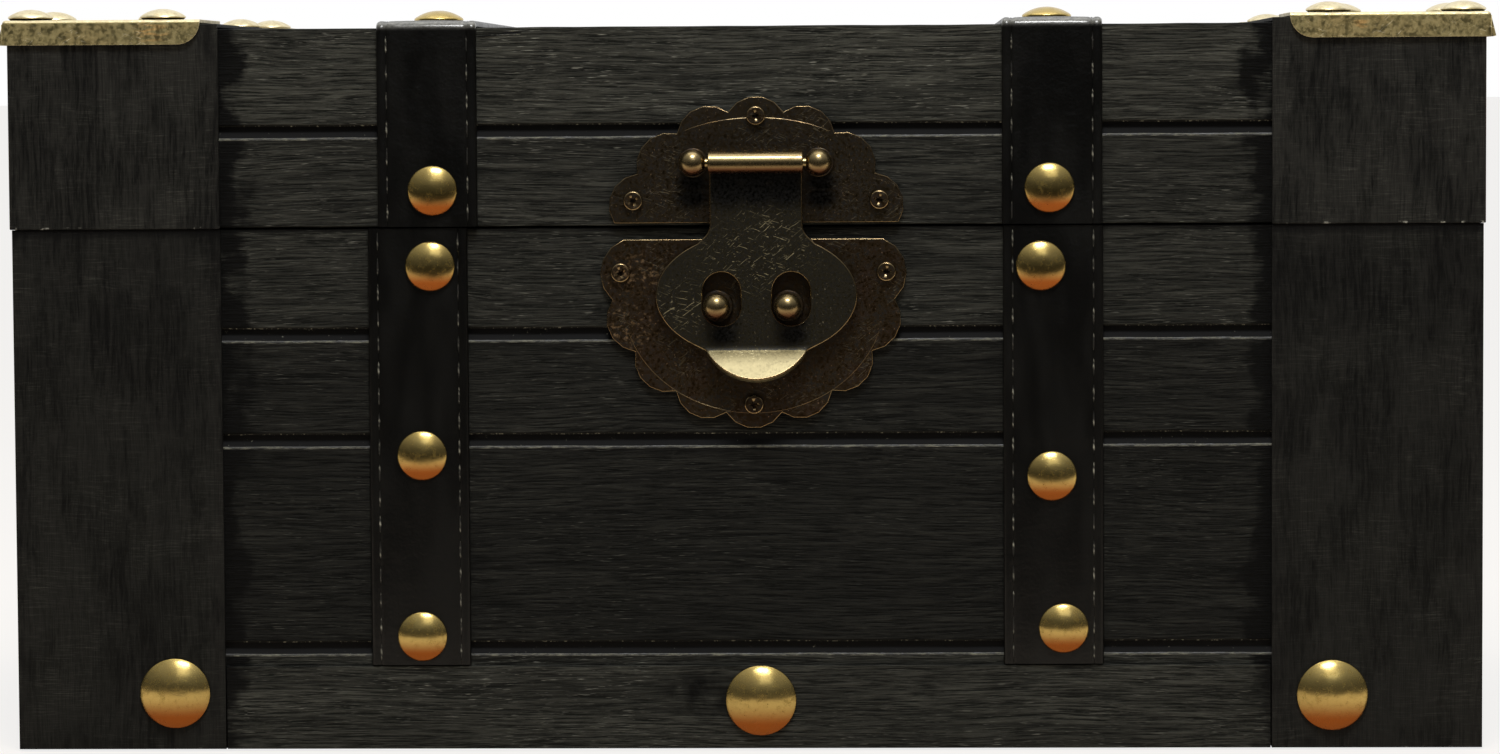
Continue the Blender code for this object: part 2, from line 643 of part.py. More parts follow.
def make_bands(wood):
    """The bands round each end, one on the base and one on the lid."""
    nails = rail_nail_places()
    for side, name in ((-1, "left"), (1, "right")):
        inner = side * BAND_INSIDE
        base_push = Vector((side * BAND_WIDTH, 0.0, 0.0))
        lid_push = Vector((side * (BAND_WIDTH + LID_OVERHANG), 0.0, 0.0))
        low = [(FRONT_FACE, BASE_HEIGHT), (FRONT_FACE, 0.0), (BACK_FACE, 0.0), (BACK_FACE, BASE_HEIGHT),
               (BACK_FACE - BAND_THICKNESS, BASE_HEIGHT), (BACK_FACE - BAND_THICKNESS, BAND_THICKNESS),
               (FRONT_FACE + BAND_THICKNESS, BAND_THICKNESS), (FRONT_FACE + BAND_THICKNESS, BASE_HEIGHT)]
        front, back = LID_FRONT - SKIN, LID_BACK + SKIN
        under = LID_SKIN_TOP - BAND_THICKNESS
        high = [(front, LID_BOTTOM), (front, LID_SKIN_TOP), (back, LID_SKIN_TOP), (back, LID_BOTTOM),
                (back - BAND_THICKNESS, LID_BOTTOM), (back - BAND_THICKNESS, under),
                (front + BAND_THICKNESS, under), (front + BAND_THICKNESS, LID_BOTTOM)]
        bm = bmesh.new()
        add_prism(bm, [(inner, y, z) for y, z in low], base_push)
        band = part(f"base_{name}_band", mesh_from(bm, "base_band"), wood)
        bm = bmesh.new()
        drill(bm, {name: nails[f"rail_nail_{name}"]}, FRONT_FACE, SKIN, NAIL_SHANK_RADIUS)
        combine(band, tool(f"base_{name}_band_bore", mesh_from(bm, "bore")), "DIFFERENCE")
        bm = bmesh.new()
        add_prism(bm, [(inner, y, z) for y, z in high], lid_push)
        part(f"lid_{name}_band", mesh_from(bm, "lid_band"), wood)


def make_rails(wood):
    """The rails along the bottom of the front and back, between the bands."""
    reach = BAND_INSIDE - FIT_GAP
    front = box_part("base_front_rail", (-reach, FRONT_FACE, 0.0),
                     (reach, FRONT_FACE + BAND_THICKNESS, RAIL_HEIGHT), wood)
    bm = bmesh.new()
    drill(bm, {"middle": rail_nail_places()["rail_nail_middle"]}, FRONT_FACE, SKIN, NAIL_SHANK_RADIUS)
    combine(front, tool("front_rail_bore", mesh_from(bm, "bore")), "DIFFERENCE")
    box_part("base_back_rail", (-reach, BACK_FACE - BAND_THICKNESS, 0.0), (reach, BACK_FACE, RAIL_HEIGHT), wood)


def make_base_straps(leather):
    """The straps on the base's front and back, from the rail up to the rim."""
    low = RAIL_HEIGHT + FIT_GAP
    nails = base_nail_places()
    for name, x in (("left", BASE_STRAP_LEFT_X), ("right", BASE_STRAP_RIGHT_X)):
        left, right = x - STRAP_WIDTH / 2, x + STRAP_WIDTH / 2
        back = PLANK_FRONT - FIT_GAP
        strap = box_part(f"base_{name}_front_strap", (left, back - STRAP_THICKNESS, low),
                         (right, back, BASE_HEIGHT), leather)
        soften(strap, STRAP_EDGE)
        bm = bmesh.new()
        places = {key: place for key, place in nails.items() if key.startswith(name)}
        drill(bm, places, back - STRAP_THICKNESS, STRAP_THICKNESS + FIT_GAP, NAIL_SHANK_RADIUS)
        combine(strap, tool(f"base_{name}_strap_bores", mesh_from(bm, "bores")), "DIFFERENCE")
        face = PLANK_BACK + FIT_GAP
        strap = box_part(f"base_{name}_back_strap", (left, face, low), (right, face + STRAP_THICKNESS, BASE_HEIGHT),
                         leather)
        soften(strap, STRAP_EDGE)


def make_lid_straps(leather):
    """The straps that run up the lid's front, over its top and down its back."""
    front_nails, top_nails = lid_nail_places(), top_nail_places()
    front, back, top = LID_FRONT - FIT_GAP, LID_BACK + FIT_GAP, LID_PLANK_TOP + FIT_GAP
    outer = (arc(front, top, STRAP_THICKNESS, 180, 90, BEND_STEPS)
             + arc(back, top, STRAP_THICKNESS, 90, 0, BEND_STEPS))
    inner = [(back, LID_BOTTOM), (back, top), (front, top), (front, LID_BOTTOM)]
    outline = [(front - STRAP_THICKNESS, LID_BOTTOM)] + outer + [(back + STRAP_THICKNESS, LID_BOTTOM)] + inner
    for name, x in (("left", LID_STRAP_LEFT_X), ("right", LID_STRAP_RIGHT_X)):
        bm = bmesh.new()
        add_prism(bm, [(x - STRAP_WIDTH / 2, y, z) for y, z in outline], Vector((STRAP_WIDTH, 0.0, 0.0)))
        strap = part(f"lid_{name}_strap", mesh_from(bm, "lid_strap"), leather)
        bm = bmesh.new()
        drill(bm, {name: front_nails[f"lid_{name}_front_nail"]}, front - STRAP_THICKNESS,
              STRAP_THICKNESS + FIT_GAP / 2, NAIL_SHANK_RADIUS)
        nail_x, nail_y = top_nails[f"lid_{name}_top_nail"]
        add_rod(bm, (nail_x, nail_y, top + OVERRUN), (nail_x, nail_y, top - FIT_GAP / 2),
                NAIL_SHANK_RADIUS + FIT_GAP)
        combine(strap, tool(f"lid_{name}_strap_bores", mesh_from(bm, "bores")), "DIFFERENCE")


def make_nails(brass):
    """The dome nails through the straps, the bands and the front rail."""
    small = turned("strap_nail", nail_profile(STRAP_NAIL_RADIUS, STRAP_NAIL_DOME), NAIL_SIDES)
    large = turned("rail_nail", nail_profile(RAIL_NAIL_RADIUS, RAIL_NAIL_DOME), NAIL_SIDES)
    strap_face = FIT_GAP + STRAP_THICKNESS
    for name, (x, z) in base_nail_places().items():
        turn(part(name, small, brass, front_place(x, PLANK_FRONT - strap_face, z)))
    for name, (x, z) in lid_nail_places().items():
        turn(part(name, small, brass, front_place(x, LID_FRONT - strap_face, z)))
    for name, (x, y) in top_nail_places().items():
        turn(part(name, small, brass, Matrix.Translation((x, y, LID_PLANK_TOP + strap_face))))
    for name, (x, z) in rail_nail_places().items():
        turn(part(name, large, brass, front_place(x, FRONT_FACE, z)))


def make_plates(bronze):
    """The two lobed hasp plates, bored for their screws and rivets."""
    for name, centre, level, face, outline, screws, rivets in (
            ("hasp_lower_plate", LOWER_PLATE_X, LOWER_PLATE_Z, PLANK_FRONT,
             lobed_outline(LOWER_CUSP_SHARES, LOWER_PLATE_WIDTH / 2, LOWER_PLATE_HEIGHT),
             lower_screw_places(), post_places()),
            ("hasp_upper_plate", HASP_X, UPPER_PLATE_Z, LID_FRONT,
             lobed_outline(UPPER_CUSP_SHARES, UPPER_PLATE_WIDTH / 2, UPPER_PLATE_HEIGHT),
             upper_screw_places(), knob_places())):
        loops = [outline]
        loops += [circle(x - centre, z - level, SCREW_SHANK_RADIUS + FIT_GAP) for x, z in screws.values()]
        loops += [circle(x - centre, z - level, RIVET_RADIUS + FIT_GAP) for x, z in rivets.values()]
        place = front_place(centre, face - FIT_GAP - PLATE_THICKNESS / 2, level)
        part(name, flat_plate(name, loops, PLATE_THICKNESS), bronze, place)


def make_screws(bronze):
    """The cross-head screws of both plates."""
    profile = turned("plate_screw", screw_profile(), SMALL_SIDES)
    plate = FIT_GAP + PLATE_THICKNESS
    top = FIT_GAP + SCREW_HEAD_HEIGHT
    half_length, half_width = SCREW_SLOT_LENGTH / 2, SCREW_SLOT_WIDTH / 2
    floor, over = top - SCREW_SLOT_DEPTH, top + OVERRUN
    cross = [(half_width, half_width), (half_length, half_width), (half_length, -half_width),
             (half_width, -half_width), (half_width, -half_length), (-half_width, -half_length),
             (-half_width, -half_width), (-half_length, -half_width), (-half_length, half_width),
             (-half_width, half_width), (-half_width, half_length), (half_width, half_length)]
    bm = bmesh.new()
    add_prism(bm, [(x, y, floor) for x, y in cross], Vector((0.0, 0.0, over - floor)))
    slot = mesh_from(bm, "screw_cross")
    for places, face in ((lower_screw_places(), PLANK_FRONT), (upper_screw_places(), LID_FRONT)):
        for name, (x, z) in places.items():
            place = front_place(x, face - plate, z)
            screw = turn(part(name, profile, bronze, place))
            combine(screw, tool(name + "_cross", slot, place), "DIFFERENCE")


def make_posts_and_knobs(brass):
    """The ball posts of the lower plate, and the knobs of the upper plate, bored for the pin's ends."""
    post = turned("hasp_post", ball_profile(POST_OUT - FIT_GAP - PLATE_THICKNESS, POST_BALL_RADIUS, POST_NECK_RADIUS,
                                            POST_COLLAR_RADIUS, POST_COLLAR_HEIGHT), BALL_SIDES)
    for name, (x, z) in post_places().items():
        turn(part(name, post, brass, front_place(x, PLANK_FRONT - FIT_GAP - PLATE_THICKNESS, z)))
    plate = LID_OVERHANG + FIT_GAP + PLATE_THICKNESS
    knob = turned("hasp_knob", ball_profile(PIN_OUT - plate, KNOB_BALL_RADIUS, KNOB_NECK_RADIUS,
                                            KNOB_COLLAR_RADIUS, KNOB_COLLAR_HEIGHT), BALL_SIDES)
    for name, (x, z) in knob_places().items():
        piece = turn(part(name, knob, brass, front_place(x, PLANK_FRONT - plate, z)))
        inward = math.copysign(1.0, HASP_X - x)
        bm = bmesh.new()
        add_rod(bm, (x - inward * (PIN_END_IN_KNOB + FIT_GAP), PIN_AXIS_Y, z),
                (x + inward * (KNOB_BALL_RADIUS + OVERRUN), PIN_AXIS_Y, z), PIN_RADIUS + PIN_GAP, BORE_SIDES)
        combine(piece, tool(name + "_bore", mesh_from(bm, "bore")), "DIFFERENCE")


def make_hasp_pin(brass):
    """The pin between the knobs, on the hasp hinge's axis."""
    half = KNOB_SPACING / 2 + PIN_END_IN_KNOB
    pin = turned("hasp_pin", [(0.0, half), (PIN_RADIUS, half), (PIN_RADIUS, -half), (0.0, -half)], SMALL_SIDES)
    turn(part("hasp_pin", pin, brass, Matrix.Translation((HASP_X, PIN_AXIS_Y, PIN_AXIS_Z)) @ ALONG_X))


def leaf_outline():
    """The hasp leaf's flat outline below the pin's axis, down to the line where its lip bends out."""
    neck, across, half_height = NECK_WIDTH / 2, OVAL_WIDTH / 2, OVAL_HEIGHT / 2
    right = [(neck, 0.0)] + arc(neck + NECK_FILLET, -NECK_LENGTH, NECK_FILLET, 180, NECK_FILLET_END,
                                      FILLET_STEPS)
    start = math.acos(right[-1][0] / across) * SHOULDER_SHARE
    end = -math.acos(LIP_CHORD / 2 / across)
    for i in range(OVAL_STEPS + 1):
        angle = start + (end - start) * i / OVAL_STEPS
        right.append((across * math.cos(angle), -OVAL_DROP + half_height * math.sin(angle)))
    right[-1] = (LIP_CHORD / 2, -LIP_DROP)
    return right + [(-x, y) for x, y in reversed(right)]


def slot_loop(x):
    """A slot of the leaf, round at both ends."""
    radius = SLOT_WIDTH / 2
    straight = SLOT_HEIGHT / 2 - radius
    return (arc(x, -SLOT_DROP + straight, radius, 0, 180, SLOT_STEPS)
            + arc(x, -SLOT_DROP - straight, radius, 180, 360, SLOT_STEPS))


def lip_outline():
    """The leaf's lip in its own plane: seen from the front it is a round segment."""
    half = LIP_CHORD / 2
    ball = (half ** 2 + LIP_HEIGHT ** 2) / (2 * LIP_HEIGHT)
    spread = math.asin(half / ball)
    stretch = 1 / math.cos(LIP_ANGLE)
    turns = [spread * (2 * i / LIP_STEPS - 1) for i in range(LIP_STEPS + 1)]
    return [(ball * math.sin(a), (ball - LIP_HEIGHT - ball * math.cos(a)) * stretch) for a in turns]


def make_hasp_leaf(bronze):
    """The leaf on the hasp pin: rolled knuckle, neck, slotted oval and a lip bent out to lift it by."""
    back = KNUCKLE_RADIUS - LEAF_THICKNESS / 2
    loops = [leaf_outline(), slot_loop(-SLOT_SPACING / 2), slot_loop(SLOT_SPACING / 2)]
    mesh = flat_plate("hasp_leaf", loops, LEAF_THICKNESS)
    mesh.transform(Matrix.Translation((0.0, back, 0.0)) @ FACING_FRONT)
    axis = Matrix.Translation((HASP_X, PIN_AXIS_Y, PIN_AXIS_Z))
    leaf = part("hasp_leaf", mesh, bronze, axis)
    half = KNUCKLE_LENGTH / 2
    bm = bmesh.new()
    add_rod(bm, (-half, 0.0, 0.0), (half, 0.0, 0.0), KNUCKLE_RADIUS * math.cos(math.pi / BALL_SIDES), BALL_SIDES)
    combine(leaf, tool("leaf_knuckle", mesh_from(bm, "knuckle"), axis), "UNION")
    bend = Matrix.Translation((0.0, back, -LIP_DROP))
    bm = bmesh.new()
    add_rod(bm, (-LIP_CHORD / 2 + FIT_GAP, 0.0, 0.0), (LIP_CHORD / 2 - FIT_GAP, 0.0, 0.0),
            LEAF_THICKNESS / 2 * math.cos(math.pi / SMALL_SIDES))
    combine(leaf, tool("leaf_bend", mesh_from(bm, "bend"), axis @ bend), "UNION")
    lip = flat_plate("leaf_lip", [lip_outline()], LEAF_THICKNESS - WELD)
    tilt = Matrix.Rotation(-LIP_ANGLE, 4, "X")
    combine(leaf, tool("leaf_lip", lip, axis @ bend @ tilt @ FACING_FRONT), "UNION")
    bm = bmesh.new()
    add_rod(bm, (-half - OVERRUN, 0.0, 0.0), (half + OVERRUN, 0.0, 0.0), PIN_RADIUS + PIN_GAP)
    combine(leaf, tool("leaf_bore", mesh_from(bm, "bore"), axis), "DIFFERENCE")


def flange_outline():
    """A bracket's flange: square at the chest's corner, and round at its other lower end."""
    return ([(0.0, 0.0), (0.0, -BRACKET_FLANGE)]
            + arc(BRACKET_LENGTH - BRACKET_FLANGE, 0.0, BRACKET_FLANGE, 270, 360, CORNER_STEPS))


def make_corner_brackets(brass):
    """The brackets over the lid's four top corners, each made in one with its four dome nails."""
    dome = turned("bracket_dome", dome_profile(BRACKET_NAIL_RADIUS, BRACKET_NAIL_DOME, BRACKET_NAIL_RIM)
                  + [(0.0, 0.0)], BRACKET_NAIL_SIDES)
    top = LID_SKIN_TOP + FIT_GAP
    nails = ((BRACKET_NAIL_INSET, BRACKET_NAIL_INSET), (BRACKET_NAIL_REACH, BRACKET_NAIL_INSET),
             (BRACKET_NAIL_INSET, BRACKET_NAIL_REACH), (BRACKET_NAIL_DIAGONAL, BRACKET_NAIL_DIAGONAL))
    for depth, row in ((1, "front"), (-1, "back")):
        for side, name in ((1, "left"), (-1, "right")):
            corner_x = -side * (HALF_WIDTH + LID_OVERHANG + FIT_GAP)
            corner_y = (LID_FRONT - SKIN - FIT_GAP) if depth > 0 else (LID_BACK + SKIN + FIT_GAP)
            turned_corner = Matrix.Diagonal((side, depth, 1.0, 1.0))
            place = Matrix.Translation((corner_x, corner_y, top))
            label = f"corner_bracket_{row}_{name}"
            start, reach = -BRACKET_THICKNESS, BRACKET_LENGTH - BRACKET_THICKNESS
            outline = ([(start, start), (reach, start)]
                       + arc(reach - BRACKET_INNER_RADIUS, reach - BRACKET_INNER_RADIUS,
                             BRACKET_INNER_RADIUS, 0, 90, CORNER_STEPS) + [(start, reach)])
            bm = bmesh.new()
            add_prism(bm, [turned_corner @ Vector((x, y, 0.0)) for x, y in outline],
                      Vector((0.0, 0.0, BRACKET_THICKNESS)))
            bracket = part(label, mesh_from(bm, label), brass, place)
            sink = BRACKET_THICKNESS / 2
            bm = bmesh.new()
            add_prism(bm, [turned_corner @ Vector((start + x, start, sink + z)) for x, z in flange_outline()],
                      turned_corner @ Vector((0.0, BRACKET_THICKNESS, 0.0)))
            combine(bracket, tool(label + "_front_flange", mesh_from(bm, label), place), "UNION")
            flare = Matrix.Rotation(BRACKET_FLARE, 4, "Y")
            hinge = Matrix.Translation((start / 2, 0.0, sink))
            points = [turned_corner @ hinge @ flare @ Vector((start / 2, start + y, z)) for y, z in flange_outline()]
            push = turned_corner @ flare @ Vector((BRACKET_THICKNESS, 0.0, 0.0))
            bm = bmesh.new()
            add_prism(bm, points, push)
            combine(bracket, tool(label + "_side_flange", mesh_from(bm, label), place), "UNION")
            for number, (x, y) in enumerate(nails, 1):
                spot = turned_corner @ Vector((x + start, y + start, sink))
                cap = tool(f"{label}_dome_{number}", dome, place @ Matrix.Translation(spot))
                combine(bracket, turn(cap), "UNION")


def comb_outline(low, high, tooth_low, teeth):
    """A hinge leaf's plate with its teeth, in X and Z. Teeth are (left, right) pairs, from left to right."""
    half = HINGE_WIDTH / 2
    points = [(-half, high), (half, high), (half, low)]
    for left, right in reversed(teeth):
        points += [(right, low), (right, tooth_low), (left, tooth_low), (left, low)]
    points.append((-half, low))
    return [point for i, point in enumerate(points) if point != points[i - 1]]


def make_hinge(side, name, brass):
    """A stop hinge: a leaf on the base, a leaf on the lid, and the pin. Their wings meet when the lid is open."""
    axis = Matrix.Translation((side * HINGE_X, HINGE_AXIS_Y, HINGE_AXIS_Z))
    half, middle = HINGE_WIDTH / 2, HINGE_MIDDLE / 2
    outer = middle + FIT_GAP
    clear = HINGE_RADIUS + FIT_GAP
    leaves = (
        ("base_leaf", -1, -HINGE_OUT + FIT_GAP, [(-half, -outer), (outer, half)]),
        ("lid_leaf", 1, -HINGE_OUT + LID_OVERHANG + FIT_GAP, [(-middle, middle)]))
    for label, up, inside, knuckles in leaves:
        full = f"{name}_hinge_{label}"
        bm = bmesh.new()
        outline = comb_outline(clear, HINGE_LEAF_HEIGHT, 0.0, knuckles)
        add_prism(bm, [(x, inside, up * z) for x, z in outline], Vector((0.0, HINGE_PLATE, 0.0)))
        leaf = part(full, mesh_from(bm, full), brass, axis)
        bm = bmesh.new()
        for left, right in knuckles:
            add_rod(bm, (left, 0.0, 0.0), (right, 0.0, 0.0),
                    HINGE_RADIUS * math.cos(math.pi / SMALL_SIDES), SMALL_SIDES)
        combine(leaf, tool(full + "_knuckle", mesh_from(bm, full), axis), "UNION")
        root = (HINGE_RADIUS + HINGE_PIN_RADIUS) / 2
        if up > 0:
            wing = [(-middle, root), (middle, root), (middle, HINGE_WING), (-middle, HINGE_WING)]
        else:
            wing = [(-half, root), (-outer, root), (-outer, clear), (outer, clear), (outer, root), (half, root),
                    (half, HINGE_WING), (-half, HINGE_WING)]
        lean = Matrix.Rotation(up * WING_ANGLE, 4, "X")
        bm = bmesh.new()
        add_prism(bm, [lean @ Vector((x, r, -HINGE_PLATE / 2)) for x, r in wing],
                  lean @ Vector((0.0, 0.0, HINGE_PLATE)))
        combine(leaf, tool(full + "_wing", mesh_from(bm, full), axis), "UNION")
        bm = bmesh.new()
        add_rod(bm, (-half - OVERRUN, 0.0, 0.0), (half + OVERRUN, 0.0, 0.0), HINGE_PIN_RADIUS + PIN_GAP)
        combine(leaf, tool(full + "_bore", mesh_from(bm, full), axis), "DIFFERENCE")
    seat = half + FIT_GAP
    end = seat + HINGE_PIN_HEAD
    profile = [(0.0, end), (HINGE_PIN_HEAD_RADIUS, end), (HINGE_PIN_HEAD_RADIUS, seat), (HINGE_PIN_RADIUS, seat),
               (HINGE_PIN_RADIUS, -seat), (HINGE_PIN_HEAD_RADIUS, -seat), (HINGE_PIN_HEAD_RADIUS, -end), (0.0, -end)]
    turn(part(f"{name}_hinge_pin", turned("hinge_pin", profile, SMALL_SIDES), brass, axis @ ALONG_X))


def main():
    """Builds the chest piece by piece."""
    clear_scene()
    wood = surface("black_stained_wood", (0.012, 0.012, 0.011), 0.55, 0.0)
    painted = surface("black_painted_band", (0.010, 0.010, 0.010), 0.6, 0.0)
    leather = surface("black_leather", (0.004, 0.004, 0.004), 0.3, 0.0)
    nail_brass = surface("antique_brass_nail", (0.42, 0.27, 0.07), 0.32, 1.0)
    bracket_brass = surface("antique_brass_bracket", (0.18, 0.15, 0.06), 0.4, 1.0)
    bronze = surface("antique_bronze", (0.05, 0.035, 0.02), 0.4, 1.0)
    bright = surface("worn_bronze", (0.32, 0.24, 0.12), 0.3, 1.0)
    make_wall_boards(wood)
    make_side_boards(wood)
    make_floor_and_top(wood)
    make_bands(painted)
    make_rails(painted)
    make_base_straps(leather)
    make_lid_straps(leather)
    make_nails(nail_brass)
    make_plates(bronze)
    make_screws(bronze)
    make_posts_and_knobs(bright)
    make_hasp_pin(bright)
    make_hasp_leaf(bronze)
    make_corner_brackets(bracket_brass)
    for side, name in ((-1, "left"), (1, "right")):
        make_hinge(side, name, bronze)


main()
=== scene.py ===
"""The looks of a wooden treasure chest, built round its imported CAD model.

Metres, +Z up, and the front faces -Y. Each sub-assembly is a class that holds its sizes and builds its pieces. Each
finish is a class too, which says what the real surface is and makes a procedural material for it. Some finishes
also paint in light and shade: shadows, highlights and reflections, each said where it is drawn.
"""

from __future__ import annotations

import logging
import math
from dataclasses import dataclass
from enum import Enum
from typing import Iterable, Sequence

import bmesh
import bpy
from mathutils import Matrix, Vector, noise


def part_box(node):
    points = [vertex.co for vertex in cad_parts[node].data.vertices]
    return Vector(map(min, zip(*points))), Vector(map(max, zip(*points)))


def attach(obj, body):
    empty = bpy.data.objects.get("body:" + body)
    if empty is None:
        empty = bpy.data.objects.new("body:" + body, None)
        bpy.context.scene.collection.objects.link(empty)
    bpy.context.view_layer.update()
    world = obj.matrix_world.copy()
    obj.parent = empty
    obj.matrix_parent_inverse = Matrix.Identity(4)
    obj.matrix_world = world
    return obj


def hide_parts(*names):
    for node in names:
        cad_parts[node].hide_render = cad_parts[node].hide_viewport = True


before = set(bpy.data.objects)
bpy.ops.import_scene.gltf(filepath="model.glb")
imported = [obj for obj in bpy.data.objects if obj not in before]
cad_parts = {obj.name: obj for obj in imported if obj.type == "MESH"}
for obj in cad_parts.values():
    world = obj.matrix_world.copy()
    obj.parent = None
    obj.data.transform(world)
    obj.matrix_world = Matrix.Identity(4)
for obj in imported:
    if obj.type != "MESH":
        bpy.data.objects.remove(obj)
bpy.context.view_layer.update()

LOG = logging.getLogger("treasure_chest")
MM = 0.001
WELD = 0.00001


class Body(str, Enum):
    """The bodies that pieces ride on."""

    BASE = "base"
    LID = "lid"
    LEAF = "hasp_leaf"


class Slot(str, Enum):
    """The names of the material slots."""

    PLANK = "stained_wood"
    BAND = "painted_wood"
    LEATHER = "leather"
    NAIL = "nail_brass"
    BRACKET = "bracket_brass"
    BRONZE = "bronze"
    WORN = "worn_bronze"


class Grain(Enum):
    """The way that a board's grain runs, as the axis that its pattern is stretched along."""

    ALONG_X = 0
    ALONG_Y = 1
    ALONG_Z = 2

    def stretch(self, length_mm: float, width_mm: float) -> tuple[float, float, float]:
        """Mapping scale of a pattern that is so long along the grain and so wide across it.

        Args:
            length_mm: size of a mark along the grain.
            width_mm: size of a mark across the grain.

        Returns:
            The scale for each axis, in marks per metre.
        """
        scale = [1.0 / (width_mm * MM)] * 3
        scale[self.value] = 1.0 / (length_mm * MM)
        return tuple(scale)


def linear(colour: str) -> tuple[float, float, float, float]:
    """Turns an sRGB hex colour to linear RGBA.

    Args:
        colour: the colour, such as "#c8a050".

    Returns:
        Red, green, blue and an alpha of 1.
    """
    shares = [int(colour[i:i + 2], 16) / 255 for i in (1, 3, 5)]
    return (*[s / 12.92 if s <= 0.04045 else ((s + 0.055) / 1.055) ** 2.4 for s in shares], 1.0)


def add_node(tree: bpy.types.NodeTree, kind: str, inputs: dict | None = None,
             stops: Sequence[tuple[float, float]] | None = None, **settings) -> bpy.types.Node:
    """Adds a node with its settings, values and links.

    Args:
        tree: the node tree.
        kind: the node's type, without ShaderNode.
        inputs: input name or number, and its value or the socket that feeds it.
        stops: for a colour ramp, its places and grey values.
        **settings: the node's own properties.

    Returns:
        The node.
    """
    node = tree.nodes.new("ShaderNode" + kind)
    for key, value in settings.items():
        setattr(node, key, value)
    for key, value in (inputs or {}).items():
        if isinstance(value, bpy.types.NodeSocket):
            tree.links.new(value, node.inputs[key])
        else:
            node.inputs[key].default_value = value
    if stops:
        elements = node.color_ramp.elements
        while len(elements) < len(stops):
            elements.new(1.0)
        for element, (place, grey) in zip(elements, stops):
            element.position = place
            element.color = (grey, grey, grey, 1.0)
    return node


